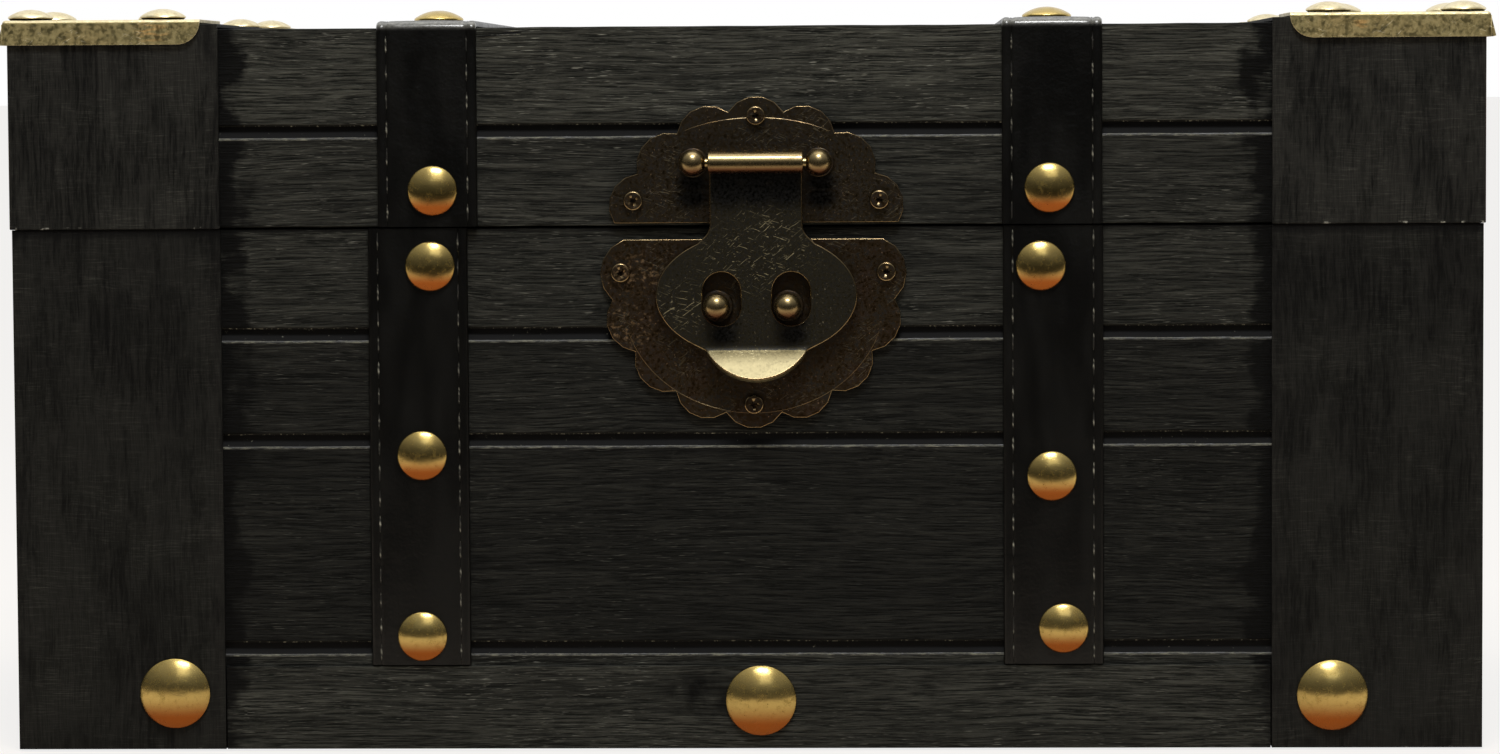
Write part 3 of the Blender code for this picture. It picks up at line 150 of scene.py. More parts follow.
@dataclass(frozen=True)
class Finish:
    """What all finishes share: a Principled material whose patterns read Object coordinates."""

    name: str

    def make(self) -> bpy.types.Material:
        """Makes the material."""
        material = bpy.data.materials.new(self.name)
        material.use_nodes = True
        tree = material.node_tree
        shader = tree.nodes["Principled BSDF"]
        place = add_node(tree, "TexCoord").outputs["Object"]
        self.dress(tree, shader, place)
        return material

    def dress(self, tree: bpy.types.NodeTree, shader: bpy.types.Node, place: bpy.types.NodeSocket) -> None:
        """Builds the pattern and links it to the shader.

        Args:
            tree: the material's node tree.
            shader: the Principled BSDF.
            place: the Object coordinates.
        """
        raise NotImplementedError

    @staticmethod
    def pattern(tree: bpy.types.NodeTree, place: bpy.types.NodeSocket, scale: tuple[float, float, float],
                low: float, high: float, turn: float = 0.0, **inputs: float) -> bpy.types.NodeSocket:
        """A noise pattern, cut to the range from low to high.

        Args:
            tree: the material's node tree.
            place: the coordinates.
            scale: marks per metre along each axis.
            low: the noise value that gives 0.
            high: the noise value that gives 1.
            turn: how far the pattern is turned about the axis square to the front, in degrees.
            **inputs: the noise's detail, roughness and distortion.

        Returns:
            A value from 0 to 1.
        """
        if turn:
            place = add_node(tree, "Mapping", {"Vector": place, "Rotation": (0.0, math.radians(turn), 0.0)}).outputs[0]
        mapped = add_node(tree, "Mapping", {"Vector": place, "Scale": scale}).outputs[0]
        values = {key.capitalize(): value for key, value in inputs.items()}
        cloud = add_node(tree, "TexNoise", {"Vector": mapped, "Scale": 1.0, **values}).outputs[0]
        return add_node(tree, "MapRange", {"Value": cloud, "From Min": low, "From Max": high}).outputs[0]

    @staticmethod
    def warp(tree: bpy.types.NodeTree, place: bpy.types.NodeSocket, scale: tuple[float, float, float],
             amount_mm: float) -> bpy.types.NodeSocket:
        """Coordinates that waver, so that lines drawn with them do.

        Args:
            tree: the material's node tree.
            place: the coordinates.
            scale: waves per metre along each axis.
            amount_mm: how far a point moves at most.

        Returns:
            The coordinates.
        """
        mapped = add_node(tree, "Mapping", {"Vector": place, "Scale": scale}).outputs[0]
        cloud = add_node(tree, "TexNoise", {"Vector": mapped, "Scale": 1.0, "Detail": 2.0}).outputs[1]
        return add_node(tree, "VectorMath", {0: cloud, 1: (2 * amount_mm * MM,) * 3, 2: place},
                        operation="MULTIPLY_ADD").outputs[0]

    @staticmethod
    def below(tree: bpy.types.NodeTree, place: bpy.types.NodeSocket, height: float,
              reach_mm: float) -> bpy.types.NodeSocket:
        """How near a point lies under a height: 1 at the height, 0 from reach_mm below and everywhere above.

        Args:
            tree: the material's node tree.
            place: the coordinates.
            height: the height in metres.
            reach_mm: how far down the share goes to 0.

        Returns:
            A value from 0 to 1.
        """
        up = add_node(tree, "SeparateXYZ", {0: place}).outputs[2]
        near = add_node(tree, "MapRange", {"Value": up, "From Min": height - reach_mm * MM,
                                           "From Max": height}).outputs[0]
        under = add_node(tree, "Math", {0: up, 1: height + 0.1 * MM}, operation="LESS_THAN").outputs[0]
        deep = add_node(tree, "Math", {0: near, 1: 0.6}, operation="POWER").outputs[0]
        return add_node(tree, "Math", {0: deep, 1: under}, operation="MULTIPLY").outputs[0]

    @staticmethod
    def zone(tree: bpy.types.NodeTree, place: bpy.types.NodeSocket,
             spots_mm: Sequence[tuple[float, float, float]]) -> bpy.types.NodeSocket:
        """How near a point lies to one of some spots of the front: 1 there, 0 from their reach outwards.

        Args:
            tree: the material's node tree.
            place: the coordinates.
            spots_mm: for each spot its X, its Z and its reach along X in millimetres.

        Returns:
            A value from 0 to 1.
        """
        share = None
        for x, z, reach in spots_mm:
            apart = add_node(tree, "VectorMath", {0: place, 1: (-x * MM, 0.0, -z * MM)}, operation="ADD").outputs[0]
            flat = add_node(tree, "VectorMath", {0: apart, 1: (1.0, 0.0, 1.5)}, operation="MULTIPLY").outputs[0]
            far = add_node(tree, "VectorMath", {0: flat}, operation="LENGTH").outputs["Value"]
            near = add_node(tree, "MapRange", {"Value": far, "From Min": reach * MM,
                                               "From Max": reach * MM * 0.4}).outputs[0]
            share = near if share is None else Finish.calc(tree, "MAXIMUM", share, near)
        return share

    @staticmethod
    def blend(tree: bpy.types.NodeTree, share: bpy.types.NodeSocket | float, first, second,
              how: str = "MIX") -> bpy.types.NodeSocket:
        """Mixes two colours.

        Args:
            tree: the material's node tree.
            share: how much of the second colour, from 0 to 1.
            first: a colour or a socket.
            second: a colour or a socket.
            how: the blend type.

        Returns:
            The mixed colour.
        """
        return add_node(tree, "Mix", {"Factor": share, 6: first, 7: second}, data_type="RGBA", blend_type=how).outputs[2]

    @staticmethod
    def calc(tree: bpy.types.NodeTree, how: str, first, second=0.0, third=0.0) -> bpy.types.NodeSocket:
        """Works out a number from up to three others.

        Args:
            tree: the material's node tree.
            how: the Math node's operation.
            first: a number or a socket.
            second: a number or a socket.
            third: a number or a socket.

        Returns:
            The result.
        """
        return add_node(tree, "Math", {0: first, 1: second, 2: third}, operation=how, use_clamp=False).outputs[0]

    @staticmethod
    def relief(tree: bpy.types.NodeTree, shader: bpy.types.Node, height: bpy.types.NodeSocket, depth_mm: float,
               strength: float = 1.0) -> None:
        """Gives the shader a bump.

        Args:
            tree: the material's node tree.
            shader: the Principled BSDF.
            height: a value from 0 to 1.
            depth_mm: how deep a step from 1 to 0 is.
            strength: share of the bump that shows.
        """
        bump = add_node(tree, "Bump", {"Height": height, "Distance": depth_mm * MM, "Strength": strength})
        tree.links.new(bump.outputs[0], shader.inputs["Normal"])


@dataclass(frozen=True)
class StainedPine(Finish):
    """Planed pine, stained black. The eye sees fine grey fibres that waver along the grain, short pale flecks that are
    painted glints of the rough grain, darker smears beside the bands, and a satin sheen. Each plank row has its own
    tone, partly the stain's own difference and partly painted shade that keeps the lower planks darker, and a painted
    shadow darkens the wood just under the lid's lower edge."""

    grain: Grain = Grain.ALONG_X
    dark: str = "#131411"
    light: str = "#52534c"
    fleck_glint: str = "#93948a"
    smear_and_seam_shadow: str = "#030302"
    fibre_mm: tuple[float, float] = (13.0, 0.40)
    figure_mm: tuple[float, float] = (90.0, 3.2)
    fleck_mm: tuple[float, float] = (4.2, 0.22)
    stain_and_shade_tones: tuple[tuple[float, float], ...] = ((24.8, 0.8), (76.1, 0.28), (102.2, 0.32), (128.35, 0.62), (152.0, 0.62))
    top_stain_and_shade_tone: float = 0.95
    stains_mm: tuple[tuple[float, float, float], ...] = ()
    waver_mm: float = 2.2
    smear_at: float = 0.0
    smear_mm: float = 9.0
    seam_shadow_mm: float = 1.2

    def dress(self, tree: bpy.types.NodeTree, shader: bpy.types.Node, place: bpy.types.NodeSocket) -> None:
        """Builds fibres, figure, flecks, the stain's smears beside the bands, plank tones with painted shade, and the
        painted shadow under the lid's edge.
        """
        grain = self.warp(tree, place, self.grain.stretch(70.0, 24.0), self.waver_mm)
        fibre = self.pattern(tree, grain, self.grain.stretch(*self.fibre_mm), 0.41, 0.61, detail=5.0, roughness=0.75)
        figure = self.pattern(tree, grain, self.grain.stretch(*self.figure_mm), 0.35, 0.65, detail=3.0)
        fleck_glint = self.pattern(tree, grain, self.grain.stretch(*self.fleck_mm), 0.63, 0.75, detail=2.0)
        patch = self.pattern(tree, place, self.grain.stretch(40.0, 12.0), 0.30, 0.66, detail=3.0)
        colour = self.blend(tree, fibre, linear(self.dark), linear(self.light))
        colour = self.blend(tree, self.calc(tree, "MULTIPLY", figure, 0.55), colour, linear(self.dark))
        # Pale flecks: painted glints of the rough grain.
        colour = self.blend(tree, self.calc(tree, "MULTIPLY", fleck_glint, patch), colour, linear(self.fleck_glint))
        # Painted shade, with some of the stain's own difference: a tone for each plank row, lighter towards the top.
        height = add_node(tree, "SeparateXYZ", {0: place}).outputs[2]
        share = add_node(tree, "MapRange", {"Value": height, "From Max": 200.0 * MM}).outputs[0]
        stops = []
        stain_and_shade_tones = [tone for _, tone in self.stain_and_shade_tones] + [self.top_stain_and_shade_tone]
        for (level, tone), above in zip(self.stain_and_shade_tones, stain_and_shade_tones[1:]):
            stops += [((level - 0.2) / 200.0, tone), ((level + 0.2) / 200.0, above)]
        tone = add_node(tree, "ValToRGB", {0: share}, stops=stops).outputs[0]
        colour = self.blend(tree, 1.0, colour, tone, "MULTIPLY")
        if self.smear_at:
            across = add_node(tree, "SeparateXYZ", {0: place}).outputs[0]
            near = self.calc(tree, "SUBTRACT", self.smear_at, self.calc(tree, "ABSOLUTE", across))
            ragged = self.pattern(tree, place, (1 / (9.0 * MM), 1.0, 1 / (11.0 * MM)), 0.36, 0.66, detail=7.0)
            frayed = self.pattern(tree, grain, self.grain.stretch(6.0, 0.6), 0.3, 0.7, detail=4.0)
            reach = self.calc(tree, "MULTIPLY_ADD", frayed, 3.4 * MM, self.calc(tree, "MULTIPLY", ragged,
                                                                                 self.smear_mm * MM))
            smear_and_seam_shadow = add_node(tree, "MapRange", {"Value": near, "From Min": self.calc(tree, "ADD", reach, 1.0 * MM),
                                                "From Max": self.calc(tree, "ADD", reach, -3.0 * MM)}).outputs[0]
            colour = self.blend(tree, self.calc(tree, "MULTIPLY", smear_and_seam_shadow, 0.97), colour, linear(self.smear_and_seam_shadow))
        if self.stains_mm:
            blot = self.pattern(tree, place, (1 / (5.0 * MM),) * 3, 0.34, 0.56, detail=6.0)
            stain = self.calc(tree, "MULTIPLY", blot, self.zone(tree, place, self.stains_mm))
            colour = self.blend(tree, stain, colour, linear(self.smear_and_seam_shadow))
        # Painted shadow just under the lid's overhanging lower edge.
        colour = self.blend(tree, self.below(tree, place, 0.1283, self.seam_shadow_mm), colour, linear(self.smear_and_seam_shadow))
        tree.links.new(colour, shader.inputs["Base Color"])
        rough = add_node(tree, "MapRange", {"Value": fibre, "To Min": 0.70, "To Max": 0.48}).outputs[0]
        tree.links.new(rough, shader.inputs["Roughness"])
        shader.inputs["Specular IOR Level"].default_value = 0.12
        raised = self.calc(tree, "ADD", fibre, self.calc(tree, "MULTIPLY", fleck_glint, 0.6))
        self.relief(tree, shader, raised, 0.13, 0.9)


@dataclass(frozen=True)
class GrooveShadeAndDust(Finish):
    """The inside of a groove. The eye sees near black, painted shade where little light reaches, with pale dust in
    places.
    """

    colour: str = "#030303"
    dust: str = "#6d6c62"
    dust_mm: float = 0.9
    dust_from: float = 0.70

    def dress(self, tree: bpy.types.NodeTree, shader: bpy.types.Node, place: bpy.types.NodeSocket) -> None:
        """Builds the dust."""
        dust = self.pattern(tree, place, (1 / (self.dust_mm * MM),) * 3, self.dust_from, self.dust_from + 0.1,
                            detail=3.0)
        tree.links.new(self.blend(tree, dust, linear(self.colour), linear(self.dust)), shader.inputs["Base Color"])
        shader.inputs["Roughness"].default_value = 0.75
        shader.inputs["Specular IOR Level"].default_value = 0.2


@dataclass(frozen=True)
class WornArrisHighlight(Finish):
    """The lower edge of a groove, worn smooth. The eye sees a thin, broken light line: a painted highlight where it
    catches the light.
    """

    colour: str = "#20201c"
    # The painted highlight's colour.
    rubbed: str = "#84836f"
    broken_mm: tuple[float, float] = (2.6, 0.5)

    def dress(self, tree: bpy.types.NodeTree, shader: bpy.types.Node, place: bpy.types.NodeSocket) -> None:
        """Builds the broken line of painted highlight."""
        rubbed = self.pattern(tree, place, Grain.ALONG_X.stretch(*self.broken_mm), 0.46, 0.78, detail=6.0,
                              roughness=0.75)
        tree.links.new(self.blend(tree, rubbed, linear(self.colour), linear(self.rubbed)),
                       shader.inputs["Base Color"])
        shader.inputs["Roughness"].default_value = 0.42
        self.relief(tree, shader, rubbed, 0.06)


@dataclass(frozen=True)
class BandPaint(Finish):
    """Thin ply under matt black paint. The eye sees a linen-like cross-hatch of sanding scratches, darker patches that
    run down, and pale chips along the lid's lower edge. The base's bands are drawn darker as painted shade, and a
    painted shadow darkens them just under the lid's lower edge."""

    colour: str = "#282825"
    dark: str = "#080807"
    scratch: str = "#55554e"
    chip: str = "#9b9b92"
    scratch_mm: tuple[float, float] = (8.0, 0.26)
    weave_mm: tuple[float, float] = (10.0, 0.32)
    streak_mm: tuple[float, float] = (13.0, 0.9)
    patch_mm: tuple[float, float] = (26.0, 11.0)
    cluster_mm: float = 15.0
    base_shade_share: float = 0.66
    lid_from: float = 0.1283
    chip_height: float = 0.1286
    chip_mm: float = 0.45
    seam_shadow_mm: float = 2.3

    def dress(self, tree: bpy.types.NodeTree, shader: bpy.types.Node, place: bpy.types.NodeSocket) -> None:
        """Builds the cross-hatch, streaks, patches and chips."""
        loose = self.warp(tree, place, (1 / (30.0 * MM),) * 3, 1.5)
        across = self.pattern(tree, loose, Grain.ALONG_X.stretch(*self.scratch_mm), 0.52, 0.76, detail=3.0,
                              roughness=0.7)
        down = self.pattern(tree, loose, Grain.ALONG_Z.stretch(*self.weave_mm), 0.40, 0.70, detail=3.0)
        streak = self.pattern(tree, loose, Grain.ALONG_Z.stretch(*self.streak_mm), 0.44, 0.58, detail=6.0,
                              roughness=0.75)
        patch = self.pattern(tree, place, Grain.ALONG_Z.stretch(*self.patch_mm), 0.44, 0.58, detail=6.0,
                             roughness=0.7)
        cluster = self.pattern(tree, place, (1 / (self.cluster_mm * MM),) * 3, 0.40, 0.66, detail=4.0)
        hatch = self.calc(tree, "MULTIPLY", across, self.calc(tree, "MULTIPLY_ADD", cluster, 0.6, 0.2))
        colour = self.blend(tree, hatch, linear(self.colour), linear(self.scratch))
        colour = self.blend(tree, self.calc(tree, "MULTIPLY", down, 0.5), colour, linear(self.dark))
        colour = self.blend(tree, self.calc(tree, "MULTIPLY", patch, 0.35), colour, linear(self.dark))
        deep = self.calc(tree, "MULTIPLY", streak, self.calc(tree, "MULTIPLY_ADD", patch, 0.75, 0.12))
        colour = self.blend(tree, deep, colour, linear(self.dark))
        height = add_node(tree, "SeparateXYZ", {0: place}).outputs[2]
        above = self.calc(tree, "ABSOLUTE", self.calc(tree, "SUBTRACT", height, self.chip_height))
        above = self.calc(tree, "MINIMUM", above, height)
        speck = self.pattern(tree, place, (1 / (2.2 * MM), 1.0, 1 / (2.2 * MM)), 0.60, 0.68, detail=5.0)
        edge = add_node(tree, "MapRange", {"Value": above, "From Min": self.chip_mm * MM, "From Max": 0.0}).outputs[0]
        colour = self.blend(tree, self.calc(tree, "MULTIPLY", speck, edge), colour, linear(self.chip))
        # Painted shade: the base's bands are drawn darker than the lid's, which sit nearer the light.
        tone = add_node(tree, "MapRange", {"Value": height, "From Min": self.lid_from, "From Max": self.lid_from + 0.1 * MM,
                                           "To Min": self.base_shade_share}).outputs[0]
        colour = self.blend(tree, 1.0, colour, tone, "MULTIPLY")
        # Painted shadow just under the lid's overhanging lower edge.
        colour = self.blend(tree, self.below(tree, place, 0.1283, self.seam_shadow_mm), colour, linear("#040404"))
        tree.links.new(colour, shader.inputs["Base Color"])
        shader.inputs["Roughness"].default_value = 0.62
        shader.inputs["Specular IOR Level"].default_value = 0.12
        self.relief(tree, shader, self.calc(tree, "SUBTRACT", across, down), 0.06, 0.7)


@dataclass(frozen=True)
class RubbedEdge(Finish):
    """The band's outer edges, rubbed through to the brown wood. The eye sees a thin reddish line, broken by paint."""

    colour: str = "#33211a"
    paint: str = "#181815"

    def dress(self, tree: bpy.types.NodeTree, shader: bpy.types.Node, place: bpy.types.NodeSocket) -> None:
        """Builds the broken line."""
        rubbed = self.pattern(tree, place, Grain.ALONG_Z.stretch(7.0, 2.0), 0.42, 0.60, detail=4.0)
        tree.links.new(self.blend(tree, rubbed, linear(self.paint), linear(self.colour)),
                       shader.inputs["Base Color"])
        shader.inputs["Roughness"].default_value = 0.6
        self.relief(tree, shader, rubbed, 0.05)


@dataclass(frozen=True)
class BlackLeather(Finish):
    """Black split leather with a glossy top coat. The eye sees a pebbled grain and soft creases, and bright streaks
    where it bends, which are a glossier coat there together with a painted highlight."""

    colour: str = "#050504"
    worn: str = "#0b0b09"
    # The painted highlight's colour, for the bends.
    rubbed: str = "#8d8c84"
    pebble_mm: float = 0.80
    crease_mm: float = 7.0

    def dress(self, tree: bpy.types.NodeTree, shader: bpy.types.Node, place: bpy.types.NodeSocket) -> None:
        """Builds pebbles, drawn half as large again as real ones, creases, dull patches and glossy bends with a
        painted highlight.
        """
        pebble = add_node(tree, "TexVoronoi", {"Vector": place, "Scale": 1 / (self.pebble_mm * MM), "Smoothness": 0.6},
                          feature="SMOOTH_F1").outputs[0]
        crease = self.pattern(tree, place, (1 / (self.crease_mm * MM),) * 3, 0.3, 0.7, detail=4.0, roughness=0.6)
        dull = self.pattern(tree, place, Grain.ALONG_Z.stretch(30.0, 8.0), 0.4, 0.65, detail=3.0)
        bent = add_node(tree, "Attribute", attribute_name="bent").outputs["Fac"]
        colour = self.blend(tree, dull, linear(self.colour), linear(self.worn))
        # Painted highlight: the bends are drawn pale where they face the light.
        creased = self.calc(tree, "MULTIPLY", bent, self.calc(tree, "MULTIPLY_ADD", pebble, 0.7, 0.3))
        tree.links.new(self.blend(tree, creased, colour, linear(self.rubbed)), shader.inputs["Base Color"])
        rough = add_node(tree, "MapRange", {"Value": dull, "To Min": 0.38, "To Max": 0.50}).outputs[0]
        rough = add_node(tree, "MapRange", {"Value": bent, "To Min": rough, "To Max": 0.20}).outputs[0]
        tree.links.new(rough, shader.inputs["Roughness"])
        tree.links.new(self.calc(tree, "MULTIPLY_ADD", bent, 0.82, 0.18), shader.inputs["Coat Weight"])
        shader.inputs["Specular IOR Level"].default_value = 0.18
        shader.inputs["Coat Roughness"].default_value = 0.18
        shader.inputs["Coat IOR"].default_value = 1.65
        height = self.calc(tree, "MULTIPLY_ADD", crease, 2.4, self.calc(tree, "MULTIPLY", pebble, -0.6))
        self.relief(tree, shader, height, 0.10, 0.8)


@dataclass(frozen=True)
class WaxedThread(Finish):
    """Waxed black thread. The eye sees small dark dashes, with painted highlights on the twist."""

    colour: str = "#1c1c19"
    twist_highlight: str = "#9a9a8c"
    twist_mm: float = 0.5

    def dress(self, tree: bpy.types.NodeTree, shader: bpy.types.Node, place: bpy.types.NodeSocket) -> None:
        """Builds the thread's twist and its painted highlights."""
        twist = add_node(tree, "TexWave", {"Vector": place, "Scale": 1 / (self.twist_mm * MM) / math.tau,
                                           "Distortion": 0.5}, bands_direction="DIAGONAL").outputs[1]
        rubbed = self.pattern(tree, place, (1 / (2.2 * MM),) * 3, 0.46, 0.66, detail=4.0)
        # Painted highlight on the twist, in patches.
        tree.links.new(self.blend(tree, self.calc(tree, "MULTIPLY", twist, rubbed), linear(self.colour),
                                  linear(self.twist_highlight)), shader.inputs["Base Color"])
        shader.inputs["Roughness"].default_value = 0.5
        self.relief(tree, shader, twist, 0.04)


@dataclass(frozen=True)
class AgedMetal(Finish):
    """A copper alloy with an aged surface: antique brass or bronze. The eye sees the metal where it was rubbed, a
    darker oxide film between that shines less, scratches in clusters, fine specks and a slightly uneven shape. The
    scratches are drawn some three times as wide as real ones, so that they show. Some pieces also get painted shadows
    under what stands out from them, and a painted reflection on their lower side."""

    bright: str = "#c7a45a"
    film: str = "#7d6228"
    warm: str = "#8a5a2c"
    scratch: str = "#d9cda4"
    speck: str = "#b59a74"
    low_reflection_colour: str = ""
    low_reflection_shares: tuple[float, float] = (0.52, 0.85)
    film_share: float = 0.5
    film_metal: float = 0.6
    film_mm: float = 1.6
    warm_share: float = 0.25
    warm_mm: float = 9.0
    speck_share: float = 0.0
    speck_mm: float = 0.7
    scratch_share: float = 0.3
    scratch_mm: tuple[float, float] = (6.0, 0.18)
    scratch_from: float = 0.71
    cluster_mm: float = 13.0
    zones_mm: tuple[tuple[float, float, float], ...] = ()
    gold: str = "#b98a3c"
    gold_mm: tuple[tuple[float, float, float], ...] = ()
    gold_grain_mm: tuple[float, float] = (3.0, 1.2)
    gold_from: float = 0.38
    painted_shadow: str = "#040403"
    painted_shadow_mm: tuple[tuple[float, float, float], ...] = ()
    rough: tuple[float, float] = (0.24, 0.42)
    dent_mm: float = 7.0
    dent_depth_mm: float = 0.10

    def dress(self, tree: bpy.types.NodeTree, shader: bpy.types.Node, place: bpy.types.NodeSocket) -> None:
        """Builds the film, warm patches, specks, scratches, painted shadows, a painted reflection on the lower side,
        and dents.
        """
        film = self.pattern(tree, place, (1 / (self.film_mm * MM),) * 3, 0.66 - 0.4 * self.film_share,
                            0.86 - 0.4 * self.film_share, detail=8.0, roughness=0.72)
        warm = self.pattern(tree, place, (1 / (self.warm_mm * MM),) * 3, 0.44, 0.68, detail=7.0, roughness=0.75)
        colour = self.blend(tree, film, linear(self.bright), linear(self.film))
        colour = self.blend(tree, self.calc(tree, "MULTIPLY", warm, self.warm_share), colour, linear(self.warm))
        length, width = self.scratch_mm
        curved = self.warp(tree, place, (1 / (9.0 * MM),) * 3, 1.2)
        rare = self.scratch_from
        first = self.pattern(tree, curved, Grain.ALONG_X.stretch(length, width), rare, rare + 0.06, turn=38.0,
                             detail=0.0)
        second = self.pattern(tree, curved, Grain.ALONG_X.stretch(length * 0.6, width), rare, rare + 0.06,
                              turn=-17.0, detail=0.0)
        cluster = self.pattern(tree, place, (1 / (self.cluster_mm * MM),) * 3, 0.46, 0.60, detail=2.0)
        if self.zones_mm:
            cluster = self.zone(tree, place, self.zones_mm)
        scratch = self.calc(tree, "MULTIPLY", self.calc(tree, "MAXIMUM", first, second), cluster)
        shown = self.calc(tree, "MULTIPLY", scratch, self.scratch_share)
        colour = self.blend(tree, shown, colour, linear(self.scratch))
        if self.gold_mm:
            ragged = self.pattern(tree, place, Grain.ALONG_X.stretch(*self.gold_grain_mm), self.gold_from,
                                  self.gold_from + 0.14, detail=5.0)
            rubbed = self.calc(tree, "MULTIPLY", ragged, self.zone(tree, place, self.gold_mm))
            colour = self.blend(tree, rubbed, colour, linear(self.gold))
        if self.speck_share:
            spot = self.pattern(tree, place, (1 / (self.speck_mm * MM),) * 3, 0.66, 0.74, detail=3.0)
            colour = self.blend(tree, self.calc(tree, "MULTIPLY", spot, self.speck_share), colour,
                                linear(self.speck))
        # Painted shadows: darker spots where something above would shade the surface.
        if self.painted_shadow_mm:
            shadow_share = self.calc(tree, "MULTIPLY", self.zone(tree, place, self.painted_shadow_mm), 0.92)
            colour = self.blend(tree, shadow_share, colour, linear(self.painted_shadow))
        # Painted reflection: the lower side is drawn in another colour, for what it mirrors there.
        if self.low_reflection_colour:
            low = add_node(tree, "Attribute", attribute_name="lower").outputs["Fac"]
            start, end = self.low_reflection_shares
            painted_shading = add_node(tree, "MapRange", {"Value": low, "From Min": start, "From Max": end},
                              interpolation_type="SMOOTHSTEP").outputs[0]
            colour = self.blend(tree, painted_shading, colour, linear(self.low_reflection_colour))
        tree.links.new(colour, shader.inputs["Base Color"])
        metal = add_node(tree, "MapRange", {"Value": film, "To Min": 1.0, "To Max": self.film_metal}).outputs[0]
        tree.links.new(metal, shader.inputs["Metallic"])
        low, high = self.rough
        rough = add_node(tree, "MapRange", {"Value": film, "To Min": low, "To Max": high}).outputs[0]
        tree.links.new(rough, shader.inputs["Roughness"])
        dent = self.pattern(tree, place, (1 / (self.dent_mm * MM),) * 3, 0.3, 0.7, detail=2.0)
        fine = self.pattern(tree, place, (1 / (0.5 * MM),) * 3, 0.3, 0.7, detail=3.0)
        height = self.calc(tree, "MULTIPLY_ADD", fine, 0.05, self.calc(tree, "MULTIPLY_ADD", scratch, -0.12, dent))
        self.relief(tree, shader, height, self.dent_depth_mm)


@dataclass(frozen=True)
class PaleFloor(Finish):
    """A plain, pale, slightly warm studio floor. The camera sees it near white with the object's shadow. Mirrors see
    it white behind the object, as it is lit close in front, and as a dim room beyond."""

    colour: str = "#ecdcc8"
    own_share: float = 0.78
    room: str = "#262523"
    room_from: float = 0.24
    room_full: float = 0.36

    def dress(self, tree: bpy.types.NodeTree, shader: bpy.types.Node, place: bpy.types.NodeSocket) -> None:
        """Mixes the lit floor with an even white that only seen rays get."""
        shader.inputs["Base Color"].default_value = linear(self.colour)
        shader.inputs["Roughness"].default_value = 0.9
        path = add_node(tree, "LightPath")
        mirrored = self.calc(tree, "MAXIMUM", path.outputs["Is Glossy Ray"], path.outputs["Is Transmission Ray"])
        depth = add_node(tree, "SeparateXYZ", {0: place}).outputs[1]
        behind = self.calc(tree, "MULTIPLY", mirrored, self.calc(tree, "GREATER_THAN", depth, 0.0))
        seen = self.calc(tree, "MAXIMUM", path.outputs["Is Camera Ray"], behind)
        white = add_node(tree, "Emission", {"Strength": 1.0})
        mixed = add_node(tree, "MixShader", {0: self.calc(tree, "MULTIPLY", seen, self.own_share),
                                             1: shader.outputs[0], 2: white.outputs[0]})
        far = add_node(tree, "MapRange", {"Value": depth, "From Min": -self.room_from,
                                          "From Max": -self.room_full}).outputs[0]
        ahead = self.calc(tree, "MULTIPLY", mirrored, far)
        room = add_node(tree, "Emission", {"Color": linear(self.room)})
        mixed = add_node(tree, "MixShader", {0: ahead, 1: mixed.outputs[0], 2: room.outputs[0]})
        tree.links.new(mixed.outputs[0], tree.nodes["Material Output"].inputs[0])


def sharp_edges(bm: bmesh.types.BMesh, degrees: float = 40.0) -> list[bmesh.types.BMEdge]:
    """The edges whose faces meet at more than an angle.

    Args:
        bm: the mesh.
        degrees: the angle.

    Returns:
        The edges.
    """
    return [e for e in bm.edges if len(e.link_faces) == 2 and e.calc_face_angle(0.0) > math.radians(degrees)]


def round_edges(bm: bmesh.types.BMesh, width: float, segments: int = 2,
                edges: Iterable[bmesh.types.BMEdge] | None = None) -> list[bmesh.types.BMFace]:
    """Rounds edges.

    Args:
        bm: the mesh.
        width: the bevel's width.
        segments: how many steps it has.
        edges: the edges, or all sharp ones.

    Returns:
        The new faces.
    """
    chosen = sharp_edges(bm) if edges is None else list(edges)
    return bmesh.ops.bevel(bm, geom=chosen, offset=width, offset_type="OFFSET", segments=segments, profile=0.5,
                           affect="EDGES", clamp_overlap=True, material=-1)["faces"]


def merged_copy(node: str) -> bmesh.types.BMesh:
    """A copy of a CAD node's mesh, with its corners merged.

    Args:
        node: the node's name.

    Returns:
        The mesh.
    """
    bm = bmesh.new()
    bm.from_mesh(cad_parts[node].data)
    bmesh.ops.remove_doubles(bm, verts=bm.verts, dist=WELD)
    bmesh.ops.dissolve_limit(bm, angle_limit=math.radians(0.5), verts=bm.verts, edges=bm.edges)
    return bm


def add_turned(bm: bmesh.types.BMesh, profile: Sequence[tuple[float, float]], place: Matrix, steps: int = 48) -> None:
    """Adds a turned body: a profile of (radius, height) spun round Z, then placed.

    Args:
        bm: the mesh that it is added to.
        profile: its points, from the top down; the first and last have radius 0.
        place: where it goes.
        steps: how many sides it has.
    """
    verts = [bm.verts.new((radius, 0.0, height)) for radius, height in profile]
    edges = [bm.edges.new(pair) for pair in zip(verts, verts[1:])]
    bmesh.ops.spin(bm, geom=verts + edges, cent=(0, 0, 0), axis=(0, 0, 1), angle=math.tau, steps=steps,
                   use_merge=True, use_duplicate=False)
    old = {v for v in bm.verts if v.tag}
    new = [v for v in bm.verts if v not in old]
    bmesh.ops.remove_doubles(bm, verts=new, dist=WELD / 10)
    new = [v for v in bm.verts if not v.tag]
    bmesh.ops.transform(bm, matrix=place, verts=new)
    for vert in new:
        vert.tag = True


